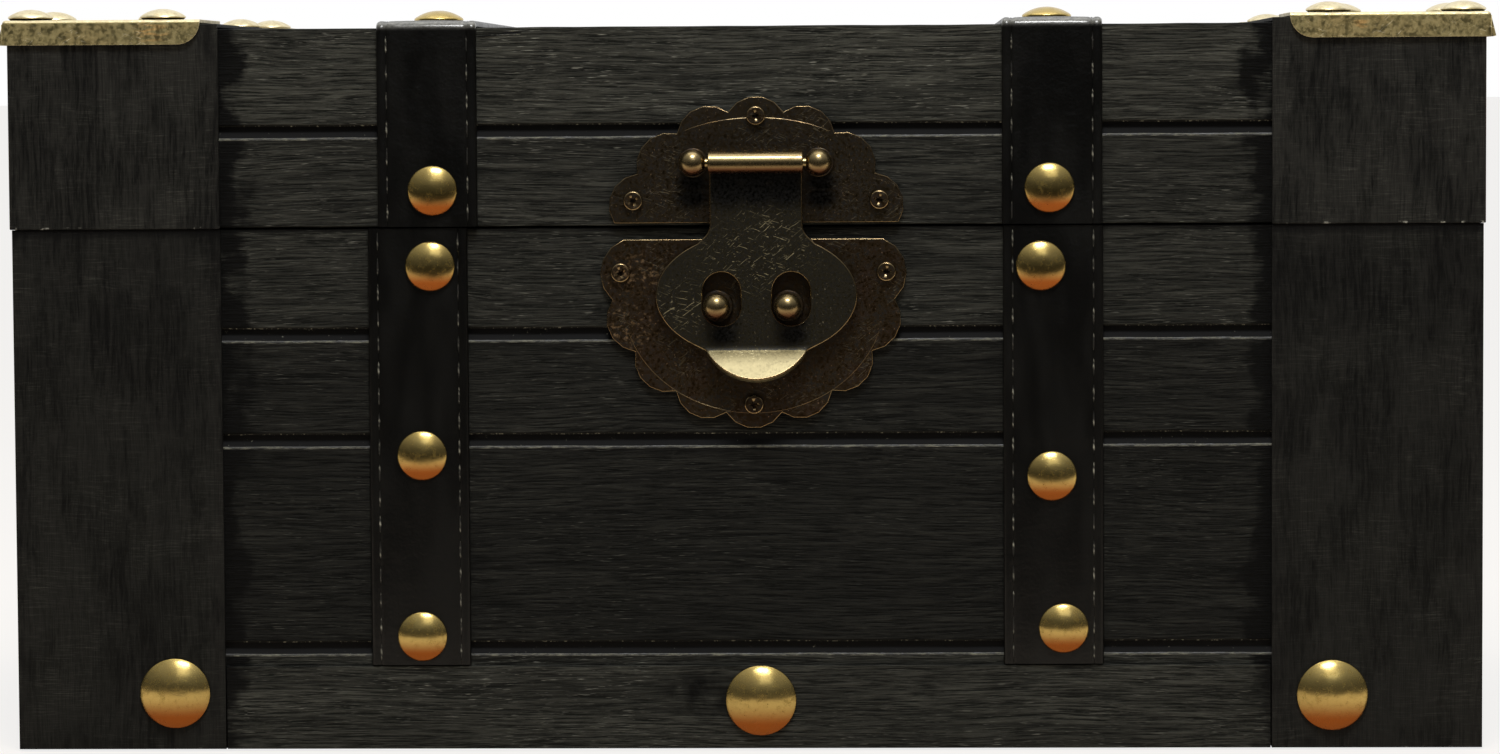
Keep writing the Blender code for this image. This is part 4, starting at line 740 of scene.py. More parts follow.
def add_block(bm: bmesh.types.BMesh, low: Sequence[float], high: Sequence[float]) -> list[bmesh.types.BMVert]:
    """Adds a box between two corners.

    Args:
        bm: the mesh that it is added to.
        low: its lowest corner.
        high: its highest corner.

    Returns:
        Its corners.
    """
    low, high = Vector(low), Vector(high)
    place = Matrix.Translation((low + high) / 2) @ Matrix.Diagonal((high - low).to_4d())
    return bmesh.ops.create_cube(bm, size=1.0, matrix=place)["verts"]


def add_sheet(bm: bmesh.types.BMesh, loops: Sequence[Sequence[Vector]]) -> list[bmesh.types.BMFace]:
    """Fills an outline, less its holes, with faces.

    Args:
        bm: the mesh that it is added to.
        loops: the outline and the holes, as closed loops of points.

    Returns:
        The faces.
    """
    edges = []
    for loop in loops:
        verts = [bm.verts.new(point) for point in loop]
        edges += [bm.edges.new(pair) for pair in zip(verts, verts[1:] + verts[:1])]
    made = bmesh.ops.triangle_fill(bm, edges=edges, use_beauty=True, use_dissolve=False)["geom"]
    return [item for item in made if isinstance(item, bmesh.types.BMFace)]


def thicken(bm: bmesh.types.BMesh, faces: Sequence[bmesh.types.BMFace], push: Vector) -> None:
    """Pushes faces along a vector to make a solid.

    Args:
        bm: the mesh.
        faces: the faces.
        push: the vector.
    """
    made = bmesh.ops.extrude_face_region(bm, geom=list(faces))["geom"]
    bmesh.ops.translate(bm, verts=[v for v in made if isinstance(v, bmesh.types.BMVert)], vec=push)


def cut_across(bm: bmesh.types.BMesh, start: Vector, run: Vector, steps: int) -> None:
    """Cuts a mesh by evenly spaced planes, so that it can be bent there.

    Args:
        bm: the mesh.
        start: a point of the first plane.
        run: the way from the first plane to the last, square to them.
        steps: how many steps lie between them.
    """
    for i in range(steps + 1):
        bmesh.ops.bisect_plane(bm, geom=list(bm.verts) + list(bm.edges) + list(bm.faces), dist=WELD / 10,
                               plane_co=start + run * (i / steps), plane_no=run.normalized())


def arc(x: float, y: float, radius: float, start: float, end: float, steps: int) -> list[tuple[float, float]]:
    """Points of an arc.

    Args:
        x: its centre.
        y: its centre.
        radius: its radius.
        start: its first angle in degrees.
        end: its last angle in degrees.
        steps: how many steps it has.

    Returns:
        The points, ends included.
    """
    angles = [math.radians(start + (end - start) * i / steps) for i in range(steps + 1)]
    return [(x + radius * math.cos(a), y + radius * math.sin(a)) for a in angles]


def mark_lower(bm: bmesh.types.BMesh, verts: Iterable[bmesh.types.BMVert], middle: float, radius: float) -> None:
    """Marks how low each point of a round piece lies, for finishes that paint a reflection on the lower side.

    Args:
        bm: the mesh.
        verts: its points.
        middle: the height of the piece's centre.
        radius: the piece's radius.
    """
    lower = bm.verts.layers.float.get("lower") or bm.verts.layers.float.new("lower")
    for vert in verts:
        vert[lower] = 0.5 - (vert.co.z - middle) / radius / 2


def dome(radius: float, height: float, rim: float, steps: int = 10) -> list[tuple[float, float]]:
    """The profile of a spherical cap on a rim whose upper edge is rolled.

    Args:
        radius: the rim's radius.
        height: the cap's height above the rim.
        rim: the rim's height.
        steps: how many steps the cap has.

    Returns:
        Its points from the top to the rim's foot.
    """
    ball = (radius ** 2 + height ** 2) / (2 * height)
    spread = math.asin(radius / ball)
    cap = [(ball * math.sin(spread * i / steps), rim + height - ball + ball * math.cos(spread * i / steps))
           for i in range(steps)]
    return cap + [(radius * 0.985, rim * 1.02), (radius, rim * 0.7), (radius * 0.995, 0.0)]


def add_piece(name: str, bm: bmesh.types.BMesh, materials: Sequence[bpy.types.Material], body: Body,
              stands_for: Sequence[str] = (), crease: float = 50.0) -> bpy.types.Object:
    """Makes a finished piece of a mesh, parents it to the body that it rides on, and hides the CAD nodes that it
    stands for.

    Args:
        name: the piece's name.
        bm: its mesh, which is used up.
        materials: its materials.
        body: the body that it moves with.
        stands_for: the CAD nodes that it replaces.
        crease: edges sharper than this are shaded sharp, in degrees.

    Returns:
        The object.
    """
    bmesh.ops.recalc_face_normals(bm, faces=bm.faces)
    mesh = bpy.data.meshes.new(name)
    bm.to_mesh(mesh)
    bm.free()
    mesh.shade_smooth()
    mesh.set_sharp_from_angle(angle=math.radians(crease))
    for material in materials:
        mesh.materials.append(material)
    piece = bpy.data.objects.new(name, mesh)
    bpy.context.scene.collection.objects.link(piece)
    even = piece.modifiers.new("even_shading", "WEIGHTED_NORMAL")
    even.keep_sharp = True
    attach(piece, body.value)
    if stands_for:
        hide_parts(*stands_for)
    LOG.info("%s: %d faces on %s", name, len(mesh.polygons), body.value)
    return piece


@dataclass
class PlankBox:
    """The plank box: walls, floor and lid, with rounded grooves between their planks."""

    base_grooves: tuple[float, ...] = (0.0248, 0.0761, 0.1022)
    lid_grooves: tuple[float, ...] = (0.1520,)
    top_plank: float = 26.1 * MM
    top_middle: float = 2.295 * MM
    groove_width: float = 3.4 * MM
    groove_depth: float = 1.2 * MM
    groove_floor: float = 1.8 * MM
    rounding: float = 0.34 * MM
    board_rounding: float = 0.4 * MM
    step: float = 3.0 * MM
    waver: float = 0.10 * MM
    sliver: float = 0.24 * MM
    sliver_tilt: float = math.radians(-2)

    def __post_init__(self) -> None:
        """Makes the finishes."""
        self.face = StainedPine("stained_pine_planks", smear_at=0.1287).make()
        self.top = StainedPine("stained_pine_top", smear_at=0.1287, smear_mm=5.0).make()
        # Painted shade: the grooves' floors and upper walls, and the splinter's slit and crack, are drawn near black.
        self.painted_shading = GrooveShadeAndDust("painted_groove_shade").make()
        self.slope = GrooveShadeAndDust("dusty_groove_slope", colour="#161613", dust="#78776a", dust_mm=0.7,
                                 dust_from=0.56).make()
        # Painted highlight on the grooves' lower edges and on the splinter's lips.
        self.arris = WornArrisHighlight("pine_arris_highlight").make()
        self.side = StainedPine("stained_pine_side", grain=Grain.ALONG_Y, stain_and_shade_tones=((128.35, 0.6),), top_stain_and_shade_tone=0.7).make()
        self.inside = StainedPine("stained_pine_plain", fleck_glint="#55564f", stain_and_shade_tones=((24.8, 0.5),), top_stain_and_shade_tone=0.5).make()

    def grooved(self, node: str, across: int, inward: Vector, grooves: Sequence[float]) -> bmesh.types.BMesh:
        """A board with grooves along X on its outer face.

        Args:
            node: the CAD node that gives its box.
            across: the axis that the grooves are counted along, 1 or 2.
            inward: the unit vector from its outer face into the board.
            grooves: the places of the grooves along that axis.

        Returns:
            The mesh.
        """
        low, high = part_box(node)
        depth_axis = 3 - across
        outer = low[depth_axis] if inward[depth_axis] > 0 else high[depth_axis]
        thick = high[depth_axis] - low[depth_axis]
        half = self.groove_width / 2
        points = [(0.0, low[across])]
        for place in grooves:
            points += [(0.0, place - half), (self.groove_depth, place + half - self.groove_floor),
                       (self.groove_depth, place + half), (0.0, place + half)]
        points += [(0.0, high[across]), (thick, high[across]), (thick, low[across])]
        bm = bmesh.new()
        verts = []
        for depth, place in points:
            spot = Vector((low.x, 0.0, 0.0))
            spot[across] = place
            spot[depth_axis] = outer + inward[depth_axis] * depth
            verts.append(bm.verts.new(spot))
        thicken(bm, [bm.faces.new(verts)], Vector((high.x - low.x, 0.0, 0.0)))
        length = high.x - low.x
        along = [e for e in bm.edges if e.calc_length() > length - WELD and e.calc_face_angle(0.0) > 0.3]
        round_edges(bm, self.rounding, 3, along)
        bm.normal_update()
        for face in bm.faces:
            middle = face.calc_center_median()
            below = min((abs(middle[across] - place + half) for place in grooves), default=1.0)
            # Inside a groove the sloped faces get the dusty slope; the floor and upper wall get the painted shade.
            if 0.25 * MM < abs(middle[depth_axis] - outer) < self.groove_depth * 1.1:
                sloped = 0.2 < face.normal[across] < 0.95 and abs(face.normal[depth_axis]) > 0.2
                face.material_index = 3 if sloped else 1
            elif below < self.rounding and abs(face.normal[depth_axis]) < 0.9999:
                face.material_index = 2
        runs = [e for e in bm.edges if e.calc_length() > length - WELD]
        bmesh.ops.subdivide_edges(bm, edges=runs, cuts=int(length / self.step))
        for vert in bm.verts:
            spot = Vector((vert.co.x / 0.011, vert.co[across] / 0.004, depth_axis))
            vert.co[across] += self.waver * noise.noise(spot)
            vert.co[depth_axis] += self.waver / 2 * noise.noise(spot + Vector((7.0, 3.0, 0.0)))
        return bm

    def splinter(self) -> None:
        """Builds the splintered place near the top edge of the lid's front: a slit drawn black as painted shade, and
        its raised lips with a painted highlight.
        """
        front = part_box("lid_front_board")[0].y
        for name, finish, (x, z), (length, height) in (
                ("slit", self.painted_shading, (-56.6, 175.9), (4.9, 0.50)),
                ("upper_lip", self.arris, (-56.0, 176.4), (5.4, 0.34)),
                ("lower_lip", self.arris, (-57.4, 175.5), (6.6, 0.34)),
                ("left_crack", self.painted_shading, (-62.6, 175.2), (6.0, 0.30))):
            bm = bmesh.new()
            size = Matrix.Diagonal((length * MM, self.sliver, height * MM, 1.0))
            tilt = Matrix.Rotation(self.sliver_tilt, 4, "Y")
            spot = Matrix.Translation((x * MM, front, z * MM))
            bmesh.ops.create_uvsphere(bm, u_segments=24, v_segments=10, radius=0.5, matrix=spot @ tilt @ size)
            add_piece("lid_front_splinter_" + name, bm, [finish], Body.LID)

    def build(self) -> None:
        """Builds every board."""
        for node, body, inward, grooves in (
                ("base_front_board", Body.BASE, 1.0, self.base_grooves),
                ("base_back_board", Body.BASE, -1.0, self.base_grooves),
                ("lid_front_board", Body.LID, 1.0, self.lid_grooves),
                ("lid_back_board", Body.LID, -1.0, self.lid_grooves)):
            bm = self.grooved(node, 2, Vector((0.0, inward, 0.0)), grooves)
            add_piece(node + "_planks", bm, [self.face, self.painted_shading, self.arris, self.slope], body, [node])
        tops = [self.top_middle + self.top_plank * place for place in range(-3, 4)]
        bm = self.grooved("lid_top_board", 1, Vector((0.0, 0.0, -1.0)), tops)
        add_piece("lid_top_board_planks", bm, [self.top, self.painted_shading, self.arris, self.slope], Body.LID,
                  ["lid_top_board"])
        for node, body in (("base_left_board", Body.BASE), ("base_right_board", Body.BASE),
                           ("lid_left_board", Body.LID), ("lid_right_board", Body.LID)):
            bm = merged_copy(node)
            round_edges(bm, self.board_rounding, 2)
            add_piece(node + "_planks", bm, [self.side], body, [node])
        self.splinter()
        bm = merged_copy("base_floor_board")
        round_edges(bm, self.board_rounding, 2)
        add_piece("base_floor_board_panel", bm, [self.inside], Body.BASE, ["base_floor_board"])


@dataclass
class Bands:
    """The painted bands round the ends, and the rails between them."""

    rounding: float = 0.22 * MM
    gap_share: float = 0.75
    outer_x: float = 179.6 * MM

    def __post_init__(self) -> None:
        """Makes the finishes."""
        self.paint = BandPaint("black_painted_ply").make()
        self.rail = StainedPine("stained_pine_rail", smear_at=0.1287, smear_mm=6.0, stains_mm=((-12.0, 13.0, 12.0),)).make()
        self.edge = RubbedEdge("rubbed_ply_edge").make()

    def close_gap(self, bm: bmesh.types.BMesh, body: Body) -> None:
        """Lowers a lid piece's lower edge a little, so that no light shows under it.

        Args:
            bm: the mesh.
            body: the body that it rides on.
        """
        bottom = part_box("lid_left_band")[0].z
        if body is Body.LID:
            for vert in bm.verts:
                if vert.co.z < bottom + WELD:
                    vert.co.z -= self.gap_share * (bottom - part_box("base_left_band")[1].z)

    def build(self) -> None:
        """Builds the four bands and two rails."""
        for side in ("left", "right"):
            for level, body in (("base", Body.BASE), ("lid", Body.LID)):
                node = f"{level}_{side}_band"
                bm = merged_copy(node)
                self.close_gap(bm, body)
                for face in round_edges(bm, self.rounding, 2):
                    if abs(face.calc_center_median().x) > self.outer_x:
                        face.material_index = 1
                add_piece(node + "_ply", bm, [self.paint, self.edge], body, [node])
        for row in ("front", "back"):
            node = f"base_{row}_rail"
            bm = merged_copy(node)
            round_edges(bm, self.rounding, 2)
            add_piece(node + "_batten", bm, [self.rail], Body.BASE, [node])


@dataclass
class Straps:
    """The leather straps: folded edges, a crowned middle, and a row of stitches along each side."""

    thickness: float = 1.4 * MM
    bend: float = 1.0 * MM
    shine_angle: float = math.radians(40)
    shine_reach: float = math.radians(42)
    run_step: float = 3.0 * MM
    bend_steps: int = 8
    edge_shares: tuple[tuple[float, float], ...] = (
        (0.0, 0.0), (0.0, 0.55), (0.012, 0.82), (0.034, 1.0), (0.062, 1.0), (0.084, 0.86), (0.096, 0.72),
        (0.108, 0.86), (0.135, 0.98), (0.2, 1.02), (0.35, 1.06))
    stitch_share: float = 0.096
    stitch_pitch: float = 6.4 * MM
    stitch_length: float = 4.4 * MM
    stitch_width: float = 0.52 * MM
    stitch_rise: float = 0.34 * MM

    def __post_init__(self) -> None:
        """Makes the finishes."""
        self.leather = BlackLeather("glossy_black_leather").make()
        self.thread = WaxedThread("waxed_black_thread").make()

    def section(self, width: float) -> list[tuple[float, float]]:
        """The strap's section as a closed loop of places across it and heights off its back.

        Args:
            width: the strap's width.

        Returns:
            The loop's points.
        """
        left = [((share - 0.5) * width, rise * self.thickness) for share, rise in self.edge_shares]
        return left + [(0.0, 1.08 * self.thickness)] + [(-x, rise) for x, rise in reversed(left)]

    def sweep(self, bm: bmesh.types.BMesh, geom: list, move: Vector, centre: Vector, angle: float,
              steps: int) -> list:
        """Carries the section on, straight or round a bend about an axis along X.

        Args:
            bm: the mesh.
            geom: the section's edges and corners.
            move: the whole straight move.
            centre: the bend's centre.
            angle: the bend's angle in radians.
            steps: how many steps it takes.

        Returns:
            The edges and corners at the end.
        """
        return bmesh.ops.spin(bm, geom=geom, cent=centre, axis=(1, 0, 0), dvec=move / steps, angle=angle,
                              steps=steps, use_merge=False, use_duplicate=False)["geom_last"]

    def start(self, bm: bmesh.types.BMesh, middle: float, width: float, back: float, low: float, out: float) -> list:
        """Makes the section at a strap's lower end, square to Z.

        Args:
            bm: the mesh.
            middle: the strap's centre line.
            width: the strap's width.
            back: the plane of its back.
            low: its lower end.
            out: the way that its front faces along Y.

        Returns:
            Its edges and corners.
        """
        verts = [bm.verts.new((middle + x, back + out * rise, low)) for x, rise in self.section(width)]
        return verts + [bm.edges.new(pair) for pair in zip(verts, verts[1:] + verts[:1])]

    def close(self, bm: bmesh.types.BMesh) -> None:
        """Closes a strap's open ends."""
        bmesh.ops.holes_fill(bm, edges=[e for e in bm.edges if e.is_boundary], sides=0)

    def stitches(self, name: str, places: Sequence[tuple[Vector, Vector, Vector]], body: Body) -> None:
        """Builds a strap's stitches in one piece.

        Args:
            name: the piece's name.
            places: for each stitch its middle, the way it runs, and the way that the leather faces.
            body: the body that it rides on.
        """
        bm = bmesh.new()
        for spot, run, out in places:
            side = run.cross(out)
            turn = Matrix((side, run, out)).transposed().to_4x4()
            size = Matrix.Diagonal((self.stitch_width, self.stitch_length, self.stitch_rise * 2, 1.0))
            bmesh.ops.create_uvsphere(bm, u_segments=8, v_segments=6, radius=0.5,
                                      matrix=Matrix.Translation(spot) @ turn @ size)
        add_piece(name, bm, [self.thread], body)

    def row(self, start: Vector, end: Vector) -> list[Vector]:
        """Evenly spaced stitch places between two points.

        Args:
            start: one end.
            end: the other end.

        Returns:
            The middles of the stitches.
        """
        count = max(1, round((end - start).length / self.stitch_pitch))
        return [start + (end - start) * ((i + 0.5) / count) for i in range(count)]

    def build_base(self, side: str, row: str) -> None:
        """Builds a straight strap of the base.

        Args:
            side: left or right.
            row: front or back.
        """
        node = f"base_{side}_{row}_strap"
        low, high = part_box(node)
        out = -1.0 if row == "front" else 1.0
        back = high.y if row == "front" else low.y
        width, middle = high.x - low.x, (low.x + high.x) / 2
        bm = bmesh.new()
        geom = self.start(bm, middle, width, back, low.z, out)
        rise = high.z - low.z
        self.sweep(bm, geom, Vector((0.0, 0.0, rise)), Vector(), 0.0, int(rise / self.run_step))
        self.close(bm)
        add_piece(node + "_leather", bm, [self.leather], Body.BASE, [node])
        face = back + out * self.thickness * 0.74
        places = []
        for end in (-1.0, 1.0):
            x = middle + end * (0.5 - self.stitch_share) * width
            for spot in self.row(Vector((x, face, low.z)), Vector((x, face, high.z))):
                places.append((spot, Vector((0.0, 0.0, 1.0)), Vector((0.0, out, 0.0))))
        self.stitches(node + "_stitches", places, Body.BASE)

    def build_lid(self, side: str) -> None:
        """Builds a strap that runs up the lid's front, over its top and down its back.

        Args:
            side: left or right.
        """
        node = f"lid_{side}_strap"
        low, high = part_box(node)
        width, middle = high.x - low.x, (low.x + high.x) / 2
        front, back, top = low.y + self.thickness, high.y - self.thickness, high.z - self.thickness
        bm = bmesh.new()
        geom = self.start(bm, middle, width, front, low.z, -1.0)
        rise, reach = top - self.bend - low.z, back - front - 2 * self.bend
        steps = int(rise / self.run_step)
        geom = self.sweep(bm, geom, Vector((0.0, 0.0, rise)), Vector(), 0.0, steps)
        geom = self.sweep(bm, geom, Vector(), Vector((middle, front + self.bend, top - self.bend)),
                          -math.pi / 2, self.bend_steps)
        geom = self.sweep(bm, geom, Vector((0.0, reach, 0.0)), Vector(), 0.0, int(reach / self.run_step))
        geom = self.sweep(bm, geom, Vector(), Vector((middle, back - self.bend, top - self.bend)),
                          -math.pi / 2, self.bend_steps)
        self.sweep(bm, geom, Vector((0.0, 0.0, -rise)), Vector(), 0.0, steps)
        self.close(bm)
        # Painted highlight mask: strongest where a bend's surface faces the light at shine_angle, fading over
        # shine_reach.
        bent = bm.verts.layers.float.new("bent")
        for vert in bm.verts:
            inward = min(vert.co.y - front, back - vert.co.y) - self.bend
            apart = math.atan2(-inward, vert.co.z - top + self.bend) - self.shine_angle
            vert[bent] = max(0.0, 1.0 - abs(apart) / self.shine_reach)
        add_piece(node + "_leather", bm, [self.leather], Body.LID, [node])
        up, along = Vector((0.0, 0.0, 1.0)), Vector((0.0, 1.0, 0.0))
        face = self.thickness * 0.74
        places = []
        for end in (-1.0, 1.0):
            x = middle + end * (0.5 - self.stitch_share) * width
            for start, stop, run, out in (
                    ((x, front - face, low.z), (x, front - face, top - self.bend), up, -along),
                    ((x, front + self.bend, top + face), (x, back - self.bend, top + face), along, up),
                    ((x, back + face, top - self.bend), (x, back + face, low.z), up, along)):
                places += [(spot, run, out) for spot in self.row(Vector(start), Vector(stop))]
        self.stitches(node + "_stitches", places, Body.LID)

    def build(self) -> None:
        """Builds every strap."""
        for side in ("left", "right"):
            self.build_base(side, "front")
            self.build_base(side, "back")
            self.build_lid(side)


@dataclass
class DomeNails:
    """The dome nails through the straps, the bands and the rail."""

    strap_dome: float = 2.0 * MM
    rail_dome: float = 3.1 * MM
    rim: float = 0.5 * MM
    shank: float = 0.9 * MM
    length: float = 6.8 * MM
    dent: float = 0.035 * MM

    def __post_init__(self) -> None:
        """Makes the finish."""
        # Painted reflection: each dome's lower side is drawn orange, for the warm floor that it mirrors.
        self.brass = AgedMetal("antique_gold_brass", bright="#c8b06c", film="#a8904f", warm="#96652e",
                               low_reflection_colour="#9a5726", film_share=0.4, film_metal=0.9, warm_share=0.15, rough=(0.23, 0.33),
                               scratch_share=0.1, dent_mm=5.0, dent_depth_mm=0.03).make()

    def nail(self, name: str, place: Matrix, radius: float, height: float, body: Body,
             stands_for: Sequence[str] = ()) -> None:
        """Builds a nail.

        Args:
            name: the piece's name.
            place: puts its seat, with +Z out of the surface.
            radius: the head's radius.
            height: the dome's height above its rim.
            body: the body that it rides on.
            stands_for: the CAD nodes that it replaces.
        """
        profile = dome(radius, height, self.rim, 12) + [(self.shank, 0.0), (self.shank, -self.length), (0.0, -self.length)]
        bm = bmesh.new()
        add_turned(bm, profile, place, 56)
        mark_lower(bm, bm.verts, place.translation.z, radius)
        seed = place.translation * 900.0
        for vert in bm.verts:
            spot = place.inverted() @ vert.co
            if spot.z > self.rim:
                vert.co += (place.to_3x3() @ Vector((0.0, 0.0, 1.0))) * self.dent * noise.noise(spot * 420.0 + seed)
        add_piece(name, bm, [self.brass], body, stands_for)

    def build(self) -> None:
        """Builds all nails of the CAD model, and those of the back straps."""
        facing_front = Matrix.Rotation(math.radians(90), 4, "X")
        for node in sorted(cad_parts):
            if "nail" not in node:
                continue
            low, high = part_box(node)
            middle = (low + high) / 2
            body = Body.LID if node.startswith("lid") else Body.BASE
            height = self.rail_dome if node.startswith("rail") else self.strap_dome
            if "top" in node:
                radius = (high.x - low.x) / 2
                place = Matrix.Translation((middle.x, middle.y, high.z - height - self.rim))
            else:
                radius = (high.x - low.x) / 2
                place = Matrix.Translation((middle.x, low.y + height + self.rim, middle.z)) @ facing_front
            self.nail(node + "_head", place, radius, height, body, [node])
        facing_back = Matrix.Rotation(math.radians(-90), 4, "X")
        for side in ("left", "right"):
            low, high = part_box(f"base_{side}_back_strap")
            middle = (low.x + high.x) / 2
            for number, share in enumerate((0.93, 0.52, 0.08), 1):
                place = Matrix.Translation((middle, high.y, low.z + (high.z - low.z) * share)) @ facing_back
                self.nail(f"{side}_back_nail_{number}", place, 6.1 * MM, self.strap_dome, Body.BASE)
            low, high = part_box(f"lid_{side}_strap")
            place = Matrix.Translation(((low.x + high.x) / 2, high.y, low.z + 14.0 * MM)) @ facing_back
            self.nail(f"{side}_back_nail_lid", place, 6.1 * MM, self.strap_dome, Body.LID)


@dataclass
class CrossScrews:
    """Screws with a low round head and a cross recess."""

    radius: float = 2.4 * MM
    height: float = 1.0 * MM
    crown: float = 2.0 * MM
    arm: float = 1.45 * MM
    arm_width: float = 0.32 * MM
    recess: float = 0.7 * MM

    def build(self, name: str, place: Matrix, materials: Sequence[bpy.types.Material], body: Body, slot: Slot,
              stands_for: Sequence[str] = ()) -> None:
        """Builds a screw head.

        Args:
            name: the piece's name.
            place: puts its seat, with +Z out of the surface.
            materials: the finishes of its crown, its rim and its recess; the recess's finish paints shade.
            body: the body that it rides on.
            slot: not used.
            stands_for: the CAD nodes that it replaces.
        """
        a, w, top = self.arm, self.arm_width, self.height
        cross = [(w, w), (w, a), (-w, a), (-w, w), (-a, w), (-a, -w), (-w, -w), (-w, -a), (w, -a), (w, -w), (a, -w),
                 (a, w)]
        bm = bmesh.new()
        crown = [Vector((x, y, top)) for x, y in arc(0.0, 0.0, self.crown, 0, 350, 35)]
        add_sheet(bm, [crown, [Vector((x, y, top)) for x, y in cross]])
        open_edges = [e for e in bm.edges if e.is_boundary]
        inner = [e for e in open_edges if max(v.co.to_2d().length for v in e.verts) < self.crown - WELD]
        outer = [e for e in open_edges if e not in inner]
        grow = self.radius / self.crown
        self.skirt(bm, inner, [(0.55, -self.recess, 1), (0.05, -self.recess * 0.3, 2)])
        self.skirt(bm, outer, [((grow + 1) / 2, -0.10 * MM, 1), (2 * grow / (grow + 1), -0.28 * MM, 1),
                               (1.0, 0.38 * MM - top, 1)])
        bmesh.ops.transform(bm, matrix=place, verts=bm.verts)
        add_piece(name, bm, materials, body, stands_for)

    @staticmethod
    def skirt(bm: bmesh.types.BMesh, edges: list[bmesh.types.BMEdge],
              steps: Sequence[tuple[float, float, int]]) -> None:
        """Carries open edges on in steps, and closes them.

        Args:
            bm: the mesh.
            edges: a closed loop of open edges.
            steps: for each step the growth about the screw's axis, the rise, and the finish's index.
        """
        for grow, rise, material in steps:
            made = bmesh.ops.extrude_edge_only(bm, edges=edges)["geom"]
            verts = [item for item in made if isinstance(item, bmesh.types.BMVert)]
            edges = [item for item in made if isinstance(item, bmesh.types.BMEdge)]
            bmesh.ops.scale(bm, vec=(grow, grow, 1.0), verts=verts)
            bmesh.ops.translate(bm, vec=(0.0, 0.0, rise), verts=verts)
            for face in {f for e in edges for f in e.link_faces}:
                face.material_index = material
        for face in bmesh.ops.contextual_create(bm, geom=edges)["faces"]:
            face.material_index = material


